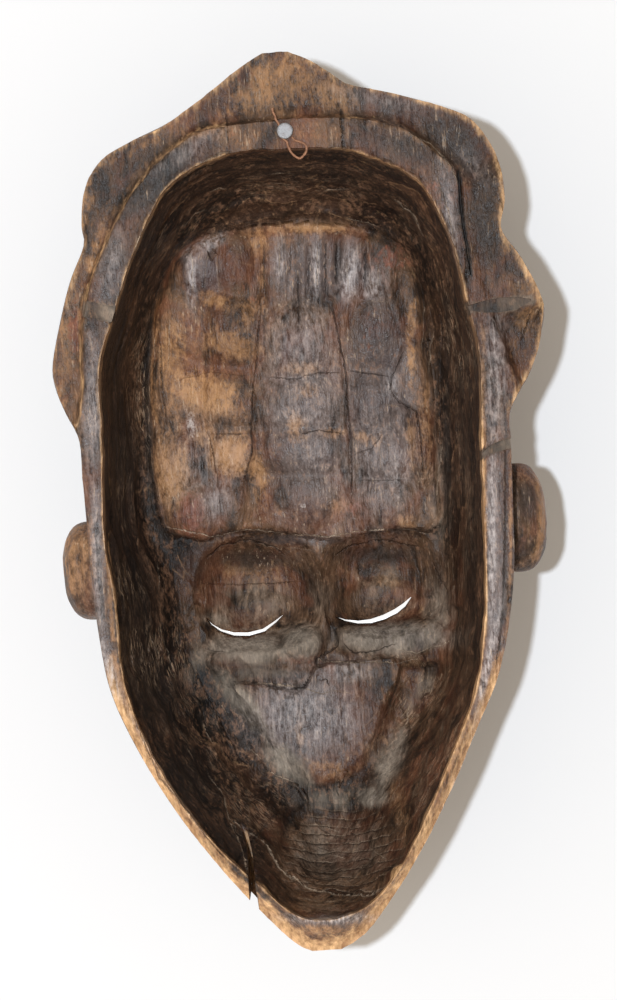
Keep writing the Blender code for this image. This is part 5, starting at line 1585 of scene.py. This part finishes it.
steel = metal_material("galvanised_steel", (0.22, 0.22, 0.225), (0.36, 0.36, 0.37), 0.6, 0.45, 0.15)
rusty = metal_material("rusty_wire", (0.19, 0.080, 0.042), (0.42, 0.215, 0.120), 0.35, 0.5, 0.45)
for piece, node, slot, metal in (
    (nail(), "hanging_nail", "nail_steel", steel), (wire(), "hanging_wire", "wire_rust", rusty),
):
    piece.data.materials.append(metal)
    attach(piece, "root")
    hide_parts(node)


FLOOR_WHITE = (0.8, 0.8, 0.8, 1.0)
# The floor's glow under the eyes, in metres: its middle, its half sizes.
GLOW_AT = (-0.001, -0.040)
GLOW_HALF = (0.045, 0.016)


def floor_material():
    """A matt white table with a painted glow: a patch under the open eyes that gives off light of its own."""
    n = Nodes("white_table")
    n.shader.inputs["Base Color"].default_value = FLOOR_WHITE
    n.shader.inputs["Roughness"].default_value = 0.85
    n.shader.inputs["Specular IOR Level"].default_value = 0.1
    local = n.add("ShaderNodeMapping")
    n.put(local.inputs["Vector"], n.place)
    local.inputs["Scale"].default_value = (1 / GLOW_HALF[0], 1 / GLOW_HALF[1], 0.0)
    local.inputs["Location"].default_value = (-GLOW_AT[0] / GLOW_HALF[0], -GLOW_AT[1] / GLOW_HALF[1], 0.0)
    length = n.add("ShaderNodeVectorMath", operation="LENGTH")
    n.put(length.inputs[0], local.outputs["Vector"])
    glow = n.ramp(length.outputs["Value"], 1.0, 0.8, 0.0, 0.9)
    n.shader.inputs["Emission Color"].default_value = (1.0, 1.0, 1.0, 1.0)
    n.put(n.shader.inputs["Emission Strength"], glow)
    return n.material


def camera():
    data = bpy.data.cameras.new("camera")
    data.sensor_width = SENSOR
    data.lens = SENSOR * CAMERA_ABOVE_RIM / (PICTURE[1] * MM_PER_PIXEL)
    data.clip_end = 20.0
    obj = linked("camera", data)
    obj.location = placed(np.array([[*CAMERA_OVER, -CAMERA_ABOVE_RIM]]))[0]
    obj.rotation_euler = (0.0, 0.0, -TURN)
    bpy.context.scene.camera = obj


def key_light():
    light = bpy.data.lights.new("key", "AREA")
    light.shape = "DISK"
    light.size = KEY_SIZE
    light.energy = KEY_WATTS
    light.color = KEY_COLOUR
    obj = linked("key", light)
    obj.location = KEY_AT
    obj.rotation_euler = (Vector(KEY_AIM) - Vector(KEY_AT)).to_track_quat("-Z", "Y").to_euler()


def studio_world():
    world = bpy.data.worlds.new("studio")
    world.use_nodes = True
    tree = world.node_tree
    place = tree.nodes.new("ShaderNodeTexCoord")
    lean = tree.nodes.new("ShaderNodeVectorMath")
    lean.operation = "DOT_PRODUCT"
    lean.inputs[1].default_value = WORLD_LEAN
    strength = tree.nodes.new("ShaderNodeMath")
    strength.operation = "MULTIPLY_ADD"
    strength.inputs[1].default_value = WORLD_STRENGTH
    strength.inputs[2].default_value = WORLD_STRENGTH
    back = tree.nodes["Background"]
    tree.links.new(place.outputs["Generated"], lean.inputs[0])
    tree.links.new(lean.outputs["Value"], strength.inputs[0])
    tree.links.new(strength.outputs[0], back.inputs["Strength"])
    back.inputs["Color"].default_value = WORLD_COLOUR
    bpy.context.scene.world = world


def floor():
    bm = bmesh.new()
    bmesh.ops.create_grid(bm, x_segments=2, y_segments=2, size=3.0)
    mesh = bpy.data.meshes.new("floor")
    bm.to_mesh(mesh)
    bm.free()
    mesh.materials.append(floor_material())
    linked("floor", mesh)


camera()
key_light()
studio_world()
floor()
bpy.context.scene.view_settings.view_transform = "Standard"
